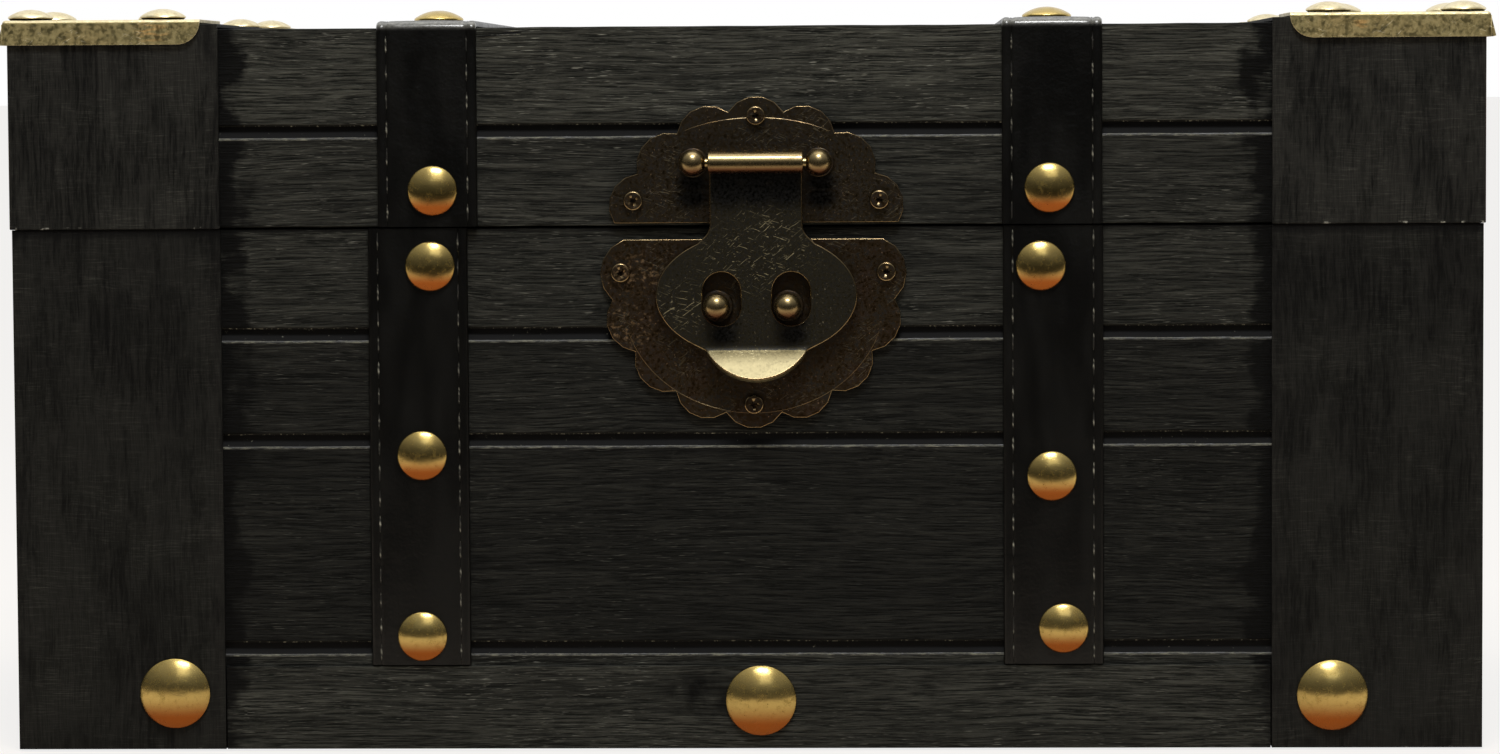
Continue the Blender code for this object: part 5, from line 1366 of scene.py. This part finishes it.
@dataclass
class Hasp:
    """The hasp: two lobed plates, their screws, posts and knobs, the pin, and the slotted leaf with its lip."""

    plate_rounding: float = 0.32 * MM
    line_radius: float = 0.10 * MM
    leaf_thickness: float = 1.6 * MM
    knuckle_radius: float = 2.65 * MM
    knuckle_length: float = 23.2 * MM
    neck: float = 11.3 * MM
    neck_length: float = 15.0 * MM
    neck_fillet: float = 4.2 * MM
    oval_drop: float = 32.3 * MM
    oval_across: float = 24.6 * MM
    oval_half_height: float = 15.5 * MM
    lip_drop: float = 45.8 * MM
    lip_half: float = 12.4 * MM
    lip_height: float = 6.8 * MM
    lip_angle: float = math.radians(38)
    lip_bend: float = 3.0 * MM
    slot_drop: float = 33.2 * MM
    slot_half_spacing: float = 8.5 * MM
    slot_radius: float = 4.65 * MM
    slot_straight: float = 1.85 * MM
    leaf_rounding: float = 0.30 * MM
    ball_radius: float = 3.3 * MM

    def __post_init__(self) -> None:
        """Makes the finishes."""
        low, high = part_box("hasp_pin")
        self.axis = (low + high) / 2
        x, z = self.axis.x / MM, self.axis.z / MM
        # Spots of painted shadow: under the knuckle and the posts on the leaf, and under the knobs on the upper plate.
        under_knuckle = tuple((x + side, z - drop, 8.5) for side in (-7.0, 0.0, 7.0) for drop in (3.0, 7.0))
        under_posts = tuple((x + side, z - drop, 5.0) for side in (-8.0, 9.0) for drop in (39.0, 42.0))
        under_knobs = tuple((x + side, z - drop, 5.5) for side in (-15.5, 15.8) for drop in (5.0, 8.5))
        self.bronze = AgedMetal("dark_antique_bronze", bright="#4a3b26", film="#17130c", warm="#3a2617",
                                speck="#94765a", gold="#7d6548", gold_mm=((-30.0, 104.0, 11.0), (-26.0, 117.0, 9.0)),
                                gold_grain_mm=(1.1, 0.9), gold_from=0.54,
                                film_share=0.66, film_metal=0.35, film_mm=0.8, warm_share=0.5,
                                speck_share=0.8, speck_mm=0.55, rough=(0.30, 0.50), scratch_share=0.10,
                                dent_mm=18.0, dent_depth_mm=0.12).make()
        self.olive = AgedMetal("olive_antique_bronze", bright="#454030", film="#171610", warm="#241d14",
                               scratch="#b5aa84", speck="#8d8468", film_share=0.72, film_metal=0.35, film_mm=0.7,
                               warm_share=0.3, speck_share=0.6, speck_mm=0.5, rough=(0.30, 0.48),
                               scratch_share=0.7, scratch_mm=(8.0, 0.17), scratch_from=0.735,
                               zones_mm=((3.0, 121.0, 17.0), (-14.0, 109.0, 11.0), (6.0, 128.0, 11.0)),
                               painted_shadow_mm=under_knuckle + under_posts,
                               dent_mm=20.0, dent_depth_mm=0.12).make()
        self.upper = AgedMetal("olive_brown_bronze", bright="#463b29", film="#16130d", warm="#2e2015",
                               speck="#9c8462", painted_shadow_mm=under_knobs, film_share=0.68, film_metal=0.35,
                               film_mm=0.8, warm_share=0.35,
                               speck_share=0.7, speck_mm=0.5, rough=(0.30, 0.50), scratch_share=0.10,
                               dent_mm=18.0, dent_depth_mm=0.12).make()
        # Painted shade: the bottom of each screw's cross recess is drawn near black.
        self.recess = AgedMetal("painted_recess_shade_bronze", bright="#1a130d", film="#0b0806", film_share=0.7,
                                film_metal=0.3).make()
        self.rim = AgedMetal("rubbed_bronze_rim", bright="#8f7d5c", film="#5a4a33", film_share=0.35,
                             film_metal=1.0, rough=(0.24, 0.34), scratch_share=0.0).make()
        # Painted reflection: the lower sides of the knuckle and the balls are drawn brown.
        self.worn = AgedMetal("rubbed_bronze", bright="#a39066", film="#7f6c48", warm="#6f4a30", low_reflection_colour="#5f3f2a",
                              film_share=0.34, film_metal=0.9, film_mm=2.4, warm_share=0.2, rough=(0.26, 0.34),
                              scratch_share=0.05, dent_depth_mm=0.0).make()
        # Painted light: the lip is drawn paler towards its lower edge, and darker at the top where the leaf and the
        # posts shade it.
        self.lip = AgedMetal("rubbed_bronze_lip", bright="#57503a", film="#47412e", warm="#4a3b26", low_reflection_colour="#847b5e",
                             low_reflection_shares=(0.02, 0.55), film_share=0.4, film_metal=0.8, film_mm=0.7,
                             warm_share=0.2, rough=(0.42, 0.52), scratch_share=0.3, scratch_mm=(2.0, 0.2),
                             dent_depth_mm=0.03).make()
        self.engraved = AgedMetal("engraved_bronze_line", bright="#62563f", film="#3d3424", film_share=0.5,
                                  scratch_share=0.0, dent_depth_mm=0.0).make()
        self.screws = CrossScrews()

    def plate(self, node: str, body: Body, finish: bpy.types.Material) -> None:
        """Builds a lobed plate with a rubbed, rounded rim.

        Args:
            node: the CAD node that it stands for.
            body: the body that it rides on.
            finish: the finish of its face.
        """
        bm = merged_copy(node)
        for face in round_edges(bm, self.plate_rounding, 2, sharp_edges(bm, 60.0)):
            face.material_index = 1
        add_piece(node + "_bronze", bm, [finish, self.rim], body, [node])

    def line(self, name: str, centre: Vector, across: float, height: float, start: float, end: float,
             body: Body) -> None:
        """Builds an engraved line: a fine bead along an arc of an ellipse.

        Args:
            name: the piece's name.
            centre: the ellipse's centre, on the plate's face.
            across: its half width.
            height: its half height.
            start: its first angle in degrees.
            end: its last angle in degrees.
            body: the body that it rides on.
        """
        bm = bmesh.new()
        steps, sides = 60, 6
        ring_size = self.line_radius
        rings = []
        for i in range(steps + 1):
            a = math.radians(start + (end - start) * i / steps)
            spot = centre + Vector((across * math.cos(a), 0.0, height * math.sin(a)))
            out = Vector((math.cos(a), 0.0, math.sin(a)))
            ring = bmesh.ops.create_circle(bm, segments=sides, radius=ring_size)["verts"]
            run = out.cross(Vector((0.0, 1.0, 0.0)))
            turn = Matrix((out, Vector((0.0, 1.0, 0.0)), run)).transposed().to_4x4()
            bmesh.ops.transform(bm, matrix=Matrix.Translation(spot) @ turn, verts=ring)
            rings.append(ring)
        for first, second in zip(rings, rings[1:]):
            edges = {e for ring in (first, second) for v in ring for e in v.link_edges
                     if e.other_vert(v) in ring}
            bmesh.ops.bridge_loops(bm, edges=list(edges))
        bmesh.ops.holes_fill(bm, edges=[e for e in bm.edges if e.is_boundary], sides=0)
        add_piece(name, bm, [self.engraved], body)

    def ball(self, node: str, body: Body, neck: float, collar: float, collar_height: float) -> None:
        """Builds a ball on a neck and a collar.

        Args:
            node: the CAD node that it stands for.
            body: the body that it rides on.
            neck: the neck's radius.
            collar: the collar's radius.
            collar_height: the collar's height.
        """
        low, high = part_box(node)
        middle = (low + high) / 2
        front = low.y + self.ball_radius
        plate = "hasp_lower_plate" if body is Body.BASE else "hasp_upper_plate"
        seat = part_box(plate)[0].y
        rise = seat - front
        turn = 180 - math.degrees(math.asin(neck / self.ball_radius))
        profile = [(self.ball_radius * math.sin(math.radians(turn * i / 16)),
                    rise + self.ball_radius * math.cos(math.radians(turn * i / 16))) for i in range(17)]
        profile[0] = (0.0, rise + self.ball_radius)
        edge = collar_height * 0.3
        profile += [(neck, collar_height), (collar - edge, collar_height), (collar, collar_height - edge),
                    (collar, 0.0), (1.3 * MM, 0.0), (1.3 * MM, -5.0 * MM), (0.0, -5.0 * MM)]
        bm = bmesh.new()
        place = Matrix.Translation((middle.x, seat, middle.z)) @ Matrix.Rotation(math.radians(90), 4, "X")
        add_turned(bm, profile, place, 48)
        mark_lower(bm, bm.verts, middle.z, self.ball_radius)
        for face in bm.faces:
            if face.calc_center_median().y > seat - collar_height - 0.9 * MM:
                face.material_index = 1
        add_piece(node + "_turned", bm, [self.worn, self.bronze], body, [node])

    def leaf_loops(self) -> list[list[Vector]]:
        """The leaf's flat outline and its two slots, from the pin's axis down, in its own plane."""
        right = [(self.neck, 0.0)]
        right += arc(self.neck + self.neck_fillet, -self.neck_length, self.neck_fillet, 180, 232, 10)
        start = math.acos(right[-1][0] / self.oval_across) * 0.93
        end = -math.acos(self.lip_half / self.oval_across)
        right += [(self.oval_across * math.cos(start + (end - start) * i / 40),
                   -self.oval_drop + self.oval_half_height * math.sin(start + (end - start) * i / 40))
                  for i in range(40)]
        right.append((self.lip_half, -self.lip_drop))
        ball = (self.lip_half ** 2 + self.lip_height ** 2) / (2 * self.lip_height)
        spread = math.asin(self.lip_half / ball)
        stretch = 1 / math.cos(self.lip_angle)
        lip = [(ball * math.sin(spread * (1 - 2 * i / 30)),
                -self.lip_drop + (ball - self.lip_height - ball * math.cos(spread * (1 - 2 * i / 30))) * stretch)
               for i in range(1, 30)]
        outline = right + lip + [(-x, z) for x, z in reversed(right)]
        loops = [outline]
        for side in (-1.0, 1.0):
            x = side * self.slot_half_spacing
            loops.append(arc(x, self.slot_straight - self.slot_drop, self.slot_radius, 0, 180, 20)
                         + arc(x, -self.slot_straight - self.slot_drop, self.slot_radius, 180, 360, 20))
        return [[Vector((x, 0.0, z)) for x, z in loop] for loop in loops]

    def bend(self, spot: Vector, start: float) -> Vector:
        """Where a point of the flat leaf goes when the lip is bent out.

        Args:
            spot: the point, with the leaf's front at Y = 0.
            start: the height at which the bend starts.

        Returns:
            The bent point.
        """
        run = start - spot.z
        if run <= 0:
            return spot
        turn = min(run / self.lip_bend, self.lip_angle)
        rest = run - turn * self.lip_bend
        out = self.lip_bend * (1 - math.cos(turn)) + rest * math.sin(turn)
        down = self.lip_bend * math.sin(turn) + rest * math.cos(turn)
        return Vector((spot.x, spot.y * math.cos(turn) - out, start - down - spot.y * math.sin(turn)))

    def leaf(self) -> None:
        """Builds the leaf with its knuckle."""
        bm = bmesh.new()
        mark_lower(bm, [], 0.0, self.knuckle_radius)
        thicken(bm, add_sheet(bm, self.leaf_loops()), Vector((0.0, self.leaf_thickness, 0.0)))
        bmesh.ops.recalc_face_normals(bm, faces=bm.faces)
        for face in round_edges(bm, self.leaf_rounding, 2, sharp_edges(bm, 62.0)):
            face.material_index = 1
        start = -self.lip_drop + self.lip_bend * self.lip_angle * 0.75
        cut_across(bm, Vector((0.0, 0.0, start)), Vector((0.0, 0.0, -self.lip_bend * self.lip_angle)), 8)
        for vert in bm.verts:
            vert.co = self.bend(vert.co, start)
        bm.normal_update()
        for face in bm.faces:
            middle = face.calc_center_median()
            if middle.z < -self.lip_drop and face.material_index == 0 and face.normal.y < 0:
                face.material_index = 3
        # How low each point of the lip lies, for the lip's painted light.
        lip = [vert for vert in bm.verts if vert.co.z < -self.lip_drop]
        mark_lower(bm, lip, -self.lip_drop - self.lip_height / 2, self.lip_height / 2)
        bmesh.ops.translate(bm, verts=bm.verts, vec=(0.0, self.knuckle_radius - self.leaf_thickness, 0.0))
        before = set(bm.faces)
        turn = Matrix.Rotation(math.radians(90), 4, "Y")
        made = bmesh.ops.create_cone(bm, cap_ends=True, segments=48, radius1=self.knuckle_radius,
                                     radius2=self.knuckle_radius, depth=self.knuckle_length, matrix=turn)["verts"]
        mark_lower(bm, made, 0.0, self.knuckle_radius)
        ends = {e for v in made for e in v.link_edges if abs(e.verts[0].co.x - e.verts[1].co.x) < WELD}
        round_edges(bm, 0.3 * MM, 2, ends)
        for face in bm.faces:
            if face not in before:
                face.material_index = 2
        bmesh.ops.translate(bm, verts=bm.verts, vec=self.axis)
        add_piece("hasp_leaf_bronze", bm, [self.olive, self.rim, self.worn, self.lip], Body.LEAF,
                  ["hasp_leaf"])

    def pin(self) -> None:
        """Builds the pin between the knobs."""
        bm = merged_copy("hasp_pin")
        round_edges(bm, 0.2 * MM, 1)
        add_piece("hasp_pin_rod", bm, [self.worn], Body.LID, ["hasp_pin"])

    def build(self) -> None:
        """Builds the whole hasp."""
        self.plate("hasp_upper_plate", Body.LID, self.upper)
        self.plate("hasp_lower_plate", Body.BASE, self.bronze)
        upper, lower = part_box("hasp_upper_plate"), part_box("hasp_lower_plate")
        middle = (upper[0].x + upper[1].x) / 2
        self.line("hasp_upper_line", Vector((middle, upper[0].y + 0.05 * MM, upper[1].z - 15.1 * MM)), 24.0 * MM,
                  10.0 * MM, 42, 136, Body.LID)
        middle = (lower[0].x + lower[1].x) / 2
        self.line("hasp_lower_line", Vector((middle, lower[0].y + 0.05 * MM, lower[1].z - 14.6 * MM)), 32.0 * MM,
                  28.0 * MM, 197, 343, Body.BASE)
        for node in sorted(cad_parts):
            if "plate_screw" in node:
                low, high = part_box(node)
                middle = (low + high) / 2
                body = Body.BASE if node.startswith("lower") else Body.LID
                place = (Matrix.Translation((middle.x, low.y + self.screws.height, middle.z))
                         @ Matrix.Rotation(math.radians(90), 4, "X")
                         @ Matrix.Rotation(middle.x * 40, 4, "Z"))
                self.screws.build(node + "_head", place, [self.bronze, self.rim, self.recess], body, Slot.BRONZE,
                                  [node])
        for side in ("left", "right"):
            self.ball(f"hasp_post_{side}", Body.BASE, 2.0 * MM, 3.9 * MM, 1.1 * MM)
            self.ball(f"hasp_knob_{side}", Body.LID, 2.3 * MM, 3.6 * MM, 1.0 * MM)
        self.pin()
        self.leaf()


@dataclass
class CornerBrackets:
    """The brackets over the lid's four top corners, each with two flanges and four dome nails."""

    length: float = 48.7 * MM
    flange: float = 5.6 * MM
    thickness: float = 0.8 * MM
    inner_radius: float = 14.0 * MM
    flare: float = math.radians(14)
    gap: float = 0.3 * MM
    bend_at: float = 0.2 * MM
    outer_bend: float = 1.0 * MM
    tab: float = 6.65 * MM
    notch: float = 0.25 * MM
    clear: float = 2.2 * MM
    edge_rounding: float = 0.18 * MM
    nail_radius: float = 5.6 * MM
    nail_dome: float = 1.8 * MM
    nail_rim: float = 0.9 * MM
    nail_places: tuple[tuple[float, float], ...] = (
        (6.2 * MM, 6.2 * MM), (38.9 * MM, 6.2 * MM), (6.2 * MM, 38.9 * MM), (34.0 * MM, 34.0 * MM))

    def __post_init__(self) -> None:
        """Makes the finishes."""
        self.brass = AgedMetal("antique_brass_sheet", bright="#bcae79", film="#9d9166", warm="#a5854d",
                               scratch="#f6ecc8", speck="#3a3520", film_share=0.62, film_metal=0.25, film_mm=1.8,
                               warm_share=0.3, warm_mm=12.0, speck_share=0.25, speck_mm=0.6, rough=(0.34, 0.46),
                               scratch_mm=(8.0, 0.20), scratch_share=0.9, scratch_from=0.735, cluster_mm=8.0,
                               gold="#d8b272", gold_mm=((-144.5, 176.8, 5.0), (150.0, 177.0, 2.5)), gold_grain_mm=(4.0, 0.7),
                               gold_from=0.44,
                               dent_mm=14.0, dent_depth_mm=0.06).make()
        # Painted highlight: the folds and rounded edges are drawn pale cream, where they catch the light.
        self.folded = AgedMetal("painted_fold_highlight", bright="#f4e8bf", film="#e4d6a8", film_share=0.8,
                                film_metal=0.15, rough=(0.34, 0.46), scratch_share=0.0, dent_depth_mm=0.02).make()
        self.nail = AgedMetal("antique_brass_tack", bright="#ecdfb8", film="#cdbd90", warm="#a98e58",
                              film_share=0.5, film_metal=0.45, warm_share=0.15, rough=(0.32, 0.42),
                              scratch_share=0.1, dent_mm=5.0, dent_depth_mm=0.03).make()
        # Painted shadow under the rims of the bracket's nails.
        self.nail_rim_shadow = AgedMetal("shadowed_brass", bright="#2e2817", film="#1b170d", film_metal=0.3,
                                  scratch_share=0.0).make()

    def build(self) -> None:
        """Builds the four brackets."""
        for row, depth in (("front", 1.0), ("back", -1.0)):
            for side, inward in (("left", 1.0), ("right", -1.0)):
                self.bracket(f"corner_bracket_{row}_{side}", inward, depth)

    def flat(self) -> list[tuple[float, float]]:
        """The bracket's flat pattern, a plate with a tab along each outer edge, from the outer corner inwards."""
        reach, edge = self.length - self.thickness, self.bend_at - self.tab
        inner, round_end = self.inner_radius, self.flange
        half = [(self.bend_at, self.bend_at), (-self.thickness, self.bend_at - self.notch), (-self.thickness, edge)]
        half += arc(reach - round_end, edge + round_end, round_end, 270, 360, 12)
        half.append((reach, self.bend_at))
        other = [(y, x) for x, y in reversed(half[3:])]
        other += [(edge, self.bend_at + self.notch), (self.bend_at - self.notch, self.bend_at + self.notch)]
        return half + arc(reach - inner, reach - inner, inner, 0, 90, 16) + other

    def fold(self, bm: bmesh.types.BMesh, axis: int, angle: float, lowest: float) -> None:
        """Folds a tab down.

        Args:
            bm: the flat mesh, with its underside at Z = 0.
            axis: the axis that the tab lies along the negative side of, 0 or 1.
            angle: how far it is folded.
            lowest: points lower than this stay where they are.
        """
        square = Vector((0.0, 0.0, 0.0))
        square[axis] = 1.0
        cut_across(bm, square * self.bend_at, square * (-self.outer_bend * angle), 7)
        for vert in bm.verts:
            run = self.bend_at - vert.co[axis]
            beside = vert.co[1 - axis] < self.bend_at - self.clear
            if run <= 0 or beside or vert.co.z < lowest:
                continue
            turn = min(run / self.outer_bend, angle)
            rest = run - turn * self.outer_bend
            out = self.outer_bend - self.thickness + vert.co.z
            vert.co[axis] = self.bend_at - out * math.sin(turn) - rest * math.cos(turn)
            vert.co.z = self.thickness - self.outer_bend + out * math.cos(turn) - rest * math.sin(turn)

    def bracket(self, node: str, inward: float, depth: float) -> None:
        """Builds a bracket in its own corner's coordinates, then turns it to its corner.

        Args:
            node: the CAD node that it stands for.
            inward: the way along X from its corner over the lid.
            depth: the way along Y from its corner over the lid.
        """
        band_low, band_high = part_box("lid_left_band" if inward > 0 else "lid_right_band")
        corner = Vector((band_low.x - self.gap if inward > 0 else band_high.x + self.gap,
                         band_low.y - self.gap if depth > 0 else band_high.y + self.gap, band_high.z + self.gap))
        bm = bmesh.new()
        faces = add_sheet(bm, [[Vector((x, y, 0.0)) for x, y in self.flat()]])
        thicken(bm, faces, Vector((0.0, 0.0, self.thickness)))
        bmesh.ops.recalc_face_normals(bm, faces=bm.faces)
        # Rounded edges take the painted highlight.
        for face in round_edges(bm, self.edge_rounding, 2, sharp_edges(bm, 62.0)):
            face.material_index = 2
        self.fold(bm, 1, math.pi / 2, -self.length)
        self.fold(bm, 0, math.pi / 2 - self.flare, self.thickness - self.outer_bend)
        bm.normal_update()
        # The folds take the painted highlight too.
        for face in bm.faces:
            middle = face.calc_center_median()
            if min(middle.x, middle.y) < self.bend_at and middle.z > self.thickness - self.outer_bend * 0.6:
                face.material_index = 2
        for x, y in self.nail_places:
            part = bmesh.new()
            profile = dome(self.nail_radius, self.nail_dome, self.nail_rim, 10)[:-1]
            profile += [(self.nail_radius * 0.98, self.nail_rim * 0.55), (self.nail_radius * 0.88, 0.0), (0.0, 0.0)]
            spot = Vector((x - self.thickness, y - self.thickness, self.thickness))
            add_turned(part, profile, Matrix.Translation(spot), 40)
            # The nails' undersides take the painted shadow.
            for face in part.faces:
                low = face.calc_center_median().z < self.thickness + self.nail_rim * 0.5
                face.material_index = 3 if low else 1
            self.join(bm, part)
        place = Matrix.Translation(corner) @ Matrix.Diagonal((inward, depth, 1.0, 1.0))
        bmesh.ops.transform(bm, matrix=place, verts=bm.verts)
        add_piece(node + "_brass", bm, [self.brass, self.nail, self.folded, self.nail_rim_shadow], Body.LID,
                  [node])

    @staticmethod
    def join(bm: bmesh.types.BMesh, part: bmesh.types.BMesh) -> None:
        """Adds one mesh to another and frees it.

        Args:
            bm: the mesh that is added to.
            part: the mesh that is added.
        """
        holder = bpy.data.meshes.new("part")
        part.to_mesh(holder)
        part.free()
        bm.from_mesh(holder)
        bpy.data.meshes.remove(holder)


@dataclass
class Hinges:
    """The two stop hinges at the back, with their screws."""

    rounding: float = 0.2 * MM
    screw_in: float = 8.5 * MM
    screw_up: float = 9.0 * MM

    def __post_init__(self) -> None:
        """Makes the finish."""
        self.brass = AgedMetal("dull_hinge_brass", bright="#8d7d55", film="#5c4f35", warm="#6a5232",
                               film_share=0.5, film_metal=0.7, film_mm=1.2, warm_share=0.2, scratch_share=0.3,
                               rough=(0.32, 0.44), dent_depth_mm=0.03).make()
        # Painted shade: the bottom of each screw's cross recess is drawn near black.
        self.recess = AgedMetal("painted_recess_shade_brass", bright="#1a130d", film="#0b0806", film_share=0.7,
                                film_metal=0.3).make()
        self.screws = CrossScrews(radius=2.0 * MM, height=0.8 * MM, crown=1.7 * MM, arm=1.2 * MM)

    def build(self) -> None:
        """Builds the leaves, pins and screws."""
        for side in ("left", "right"):
            for label, body, up in (("base_leaf", Body.BASE, -1.0), ("lid_leaf", Body.LID, 1.0),
                                    ("pin", Body.BASE, 0.0)):
                node = f"{side}_hinge_{label}"
                bm = merged_copy(node)
                round_edges(bm, self.rounding, 1, sharp_edges(bm, 50.0))
                add_piece(node + "_brass", bm, [self.brass], body, [node])
                if not up:
                    continue
                low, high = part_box(node)
                pin_low, pin_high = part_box(f"{side}_hinge_pin")
                middle = (pin_low + pin_high) / 2
                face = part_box("base_back_board")[1].y + 0.3 * MM + (0.5 * MM if up > 0 else 0.0) + 1.0 * MM
                for end in (-1.0, 1.0):
                    place = (Matrix.Translation((middle.x + end * self.screw_in, face, middle.z + up * self.screw_up))
                             @ Matrix.Rotation(math.radians(-90), 4, "X"))
                    self.screws.build(f"{node}_screw_{'left' if end < 0 else 'right'}", place,
                                      [self.brass, self.brass, self.recess], body, Slot.BRONZE)


@dataclass
class Studio:
    """The floor, the soft lights and the camera."""

    floor_size: float = 60.0
    focal: float = 114.86
    sensor: float = 36.0
    place: tuple[float, float, float] = (0.03994, -1.27195, 0.16201)
    yaw: float = 0.0331
    pitch: float = 0.0602
    roll: float = -0.0060

    def floor(self) -> None:
        """Makes the floor."""
        bm = bmesh.new()
        bmesh.ops.create_grid(bm, x_segments=1, y_segments=1, size=self.floor_size)
        mesh = bpy.data.meshes.new("floor")
        bm.to_mesh(mesh)
        bm.free()
        mesh.materials.append(PaleFloor("pale_floor").make())
        floor = bpy.data.objects.new("floor", mesh)
        floor.location.z = -0.0005
        bpy.context.scene.collection.objects.link(floor)

    def lamp(self, name: str, spot: tuple[float, float, float], aim: tuple[float, float, float],
             size: tuple[float, float], power: float, colour: str = "#ffffff") -> None:
        """Makes a soft box.

        Args:
            name: its name.
            spot: where it hangs.
            aim: the point that it faces.
            size: its width and height.
            power: its power in watts.
            colour: its colour.
        """
        light = bpy.data.lights.new(name, "AREA")
        light.shape = "RECTANGLE"
        light.size, light.size_y = size
        light.energy = power
        light.color = linear(colour)[:3]
        lamp = bpy.data.objects.new(name, light)
        lamp.location = spot
        lamp.rotation_euler = (Vector(aim) - Vector(spot)).to_track_quat("-Z", "Y").to_euler()
        bpy.context.scene.collection.objects.link(lamp)

    def world(self) -> None:
        """Makes the surroundings: a white backdrop, a dim room in front, and a bright ceiling."""
        world = bpy.data.worlds.new("studio")
        world.use_nodes = True
        bpy.context.scene.world = world
        tree = world.node_tree
        way = add_node(tree, "TexCoord").outputs["Generated"]
        parts = add_node(tree, "SeparateXYZ", {0: way})
        path = add_node(tree, "LightPath")
        behind = add_node(tree, "MapRange", {"Value": parts.outputs[1], "From Min": 0.1, "From Max": 0.4}).outputs[0]
        mirrored = Finish.calc(tree, "MAXIMUM", path.outputs["Is Glossy Ray"], path.outputs["Is Transmission Ray"])
        backdrop = Finish.calc(tree, "MULTIPLY", behind, Finish.calc(tree, "MAXIMUM", mirrored, 0.6))
        white = Finish.calc(tree, "MAXIMUM", path.outputs["Is Camera Ray"], backdrop)
        room = add_node(tree, "ValToRGB", {0: parts.outputs[2]},
                        stops=((0.0, 0.05), (0.2, 0.07), (0.5, 0.22), (1.0, 0.6))).outputs[0]
        colour = Finish.blend(tree, white, room, (1.0, 1.0, 1.0, 1.0))
        tree.links.new(colour, tree.nodes["Background"].inputs[0])

    def camera(self) -> None:
        """Makes the camera at the photograph's viewing angle."""
        data = bpy.data.cameras.new("camera")
        data.lens, data.sensor_width = self.focal, self.sensor
        data.clip_start, data.clip_end = 0.05, 200.0
        ahead = Vector((-math.sin(self.yaw) * math.cos(self.pitch), math.cos(self.yaw) * math.cos(self.pitch),
                        -math.sin(self.pitch)))
        level = Vector((math.cos(self.yaw), math.sin(self.yaw), 0.0))
        up = level.cross(ahead)
        right = math.cos(self.roll) * level + math.sin(self.roll) * up
        top = -math.sin(self.roll) * level + math.cos(self.roll) * up
        camera = bpy.data.objects.new("camera", data)
        camera.matrix_world = Matrix.Translation(self.place) @ Matrix((right, top, -ahead)).transposed().to_4x4()
        bpy.context.scene.collection.objects.link(camera)
        bpy.context.scene.camera = camera

    def build(self) -> None:
        """Sets up the studio."""
        self.floor()
        self.world()
        self.lamp("overhead_box", (0.05, -0.70, 1.18), (0.0, -0.10, 0.10), (0.42, 0.26), 9.5)
        self.lamp("ceiling_panel", (0.0, 0.05, 1.35), (0.0, 0.05, 0.0), (1.2, 0.8), 3.4)
        self.lamp("front_window", (0.25, -1.60, 1.30), (0.0, -0.10, 0.10), (0.9, 0.5), 1.4)
        self.camera()
        bpy.context.scene.view_settings.view_transform = "Standard"


def main() -> None:
    """Builds the chest and its studio."""
    logging.basicConfig(level=logging.INFO, format="%(message)s")
    for part in (PlankBox(), Bands(), Straps(), DomeNails(), Hasp(), CornerBrackets(), Hinges(), Studio()):
        part.build()
        LOG.info("%s built", type(part).__name__)


if __name__ == "__main__":
    main()
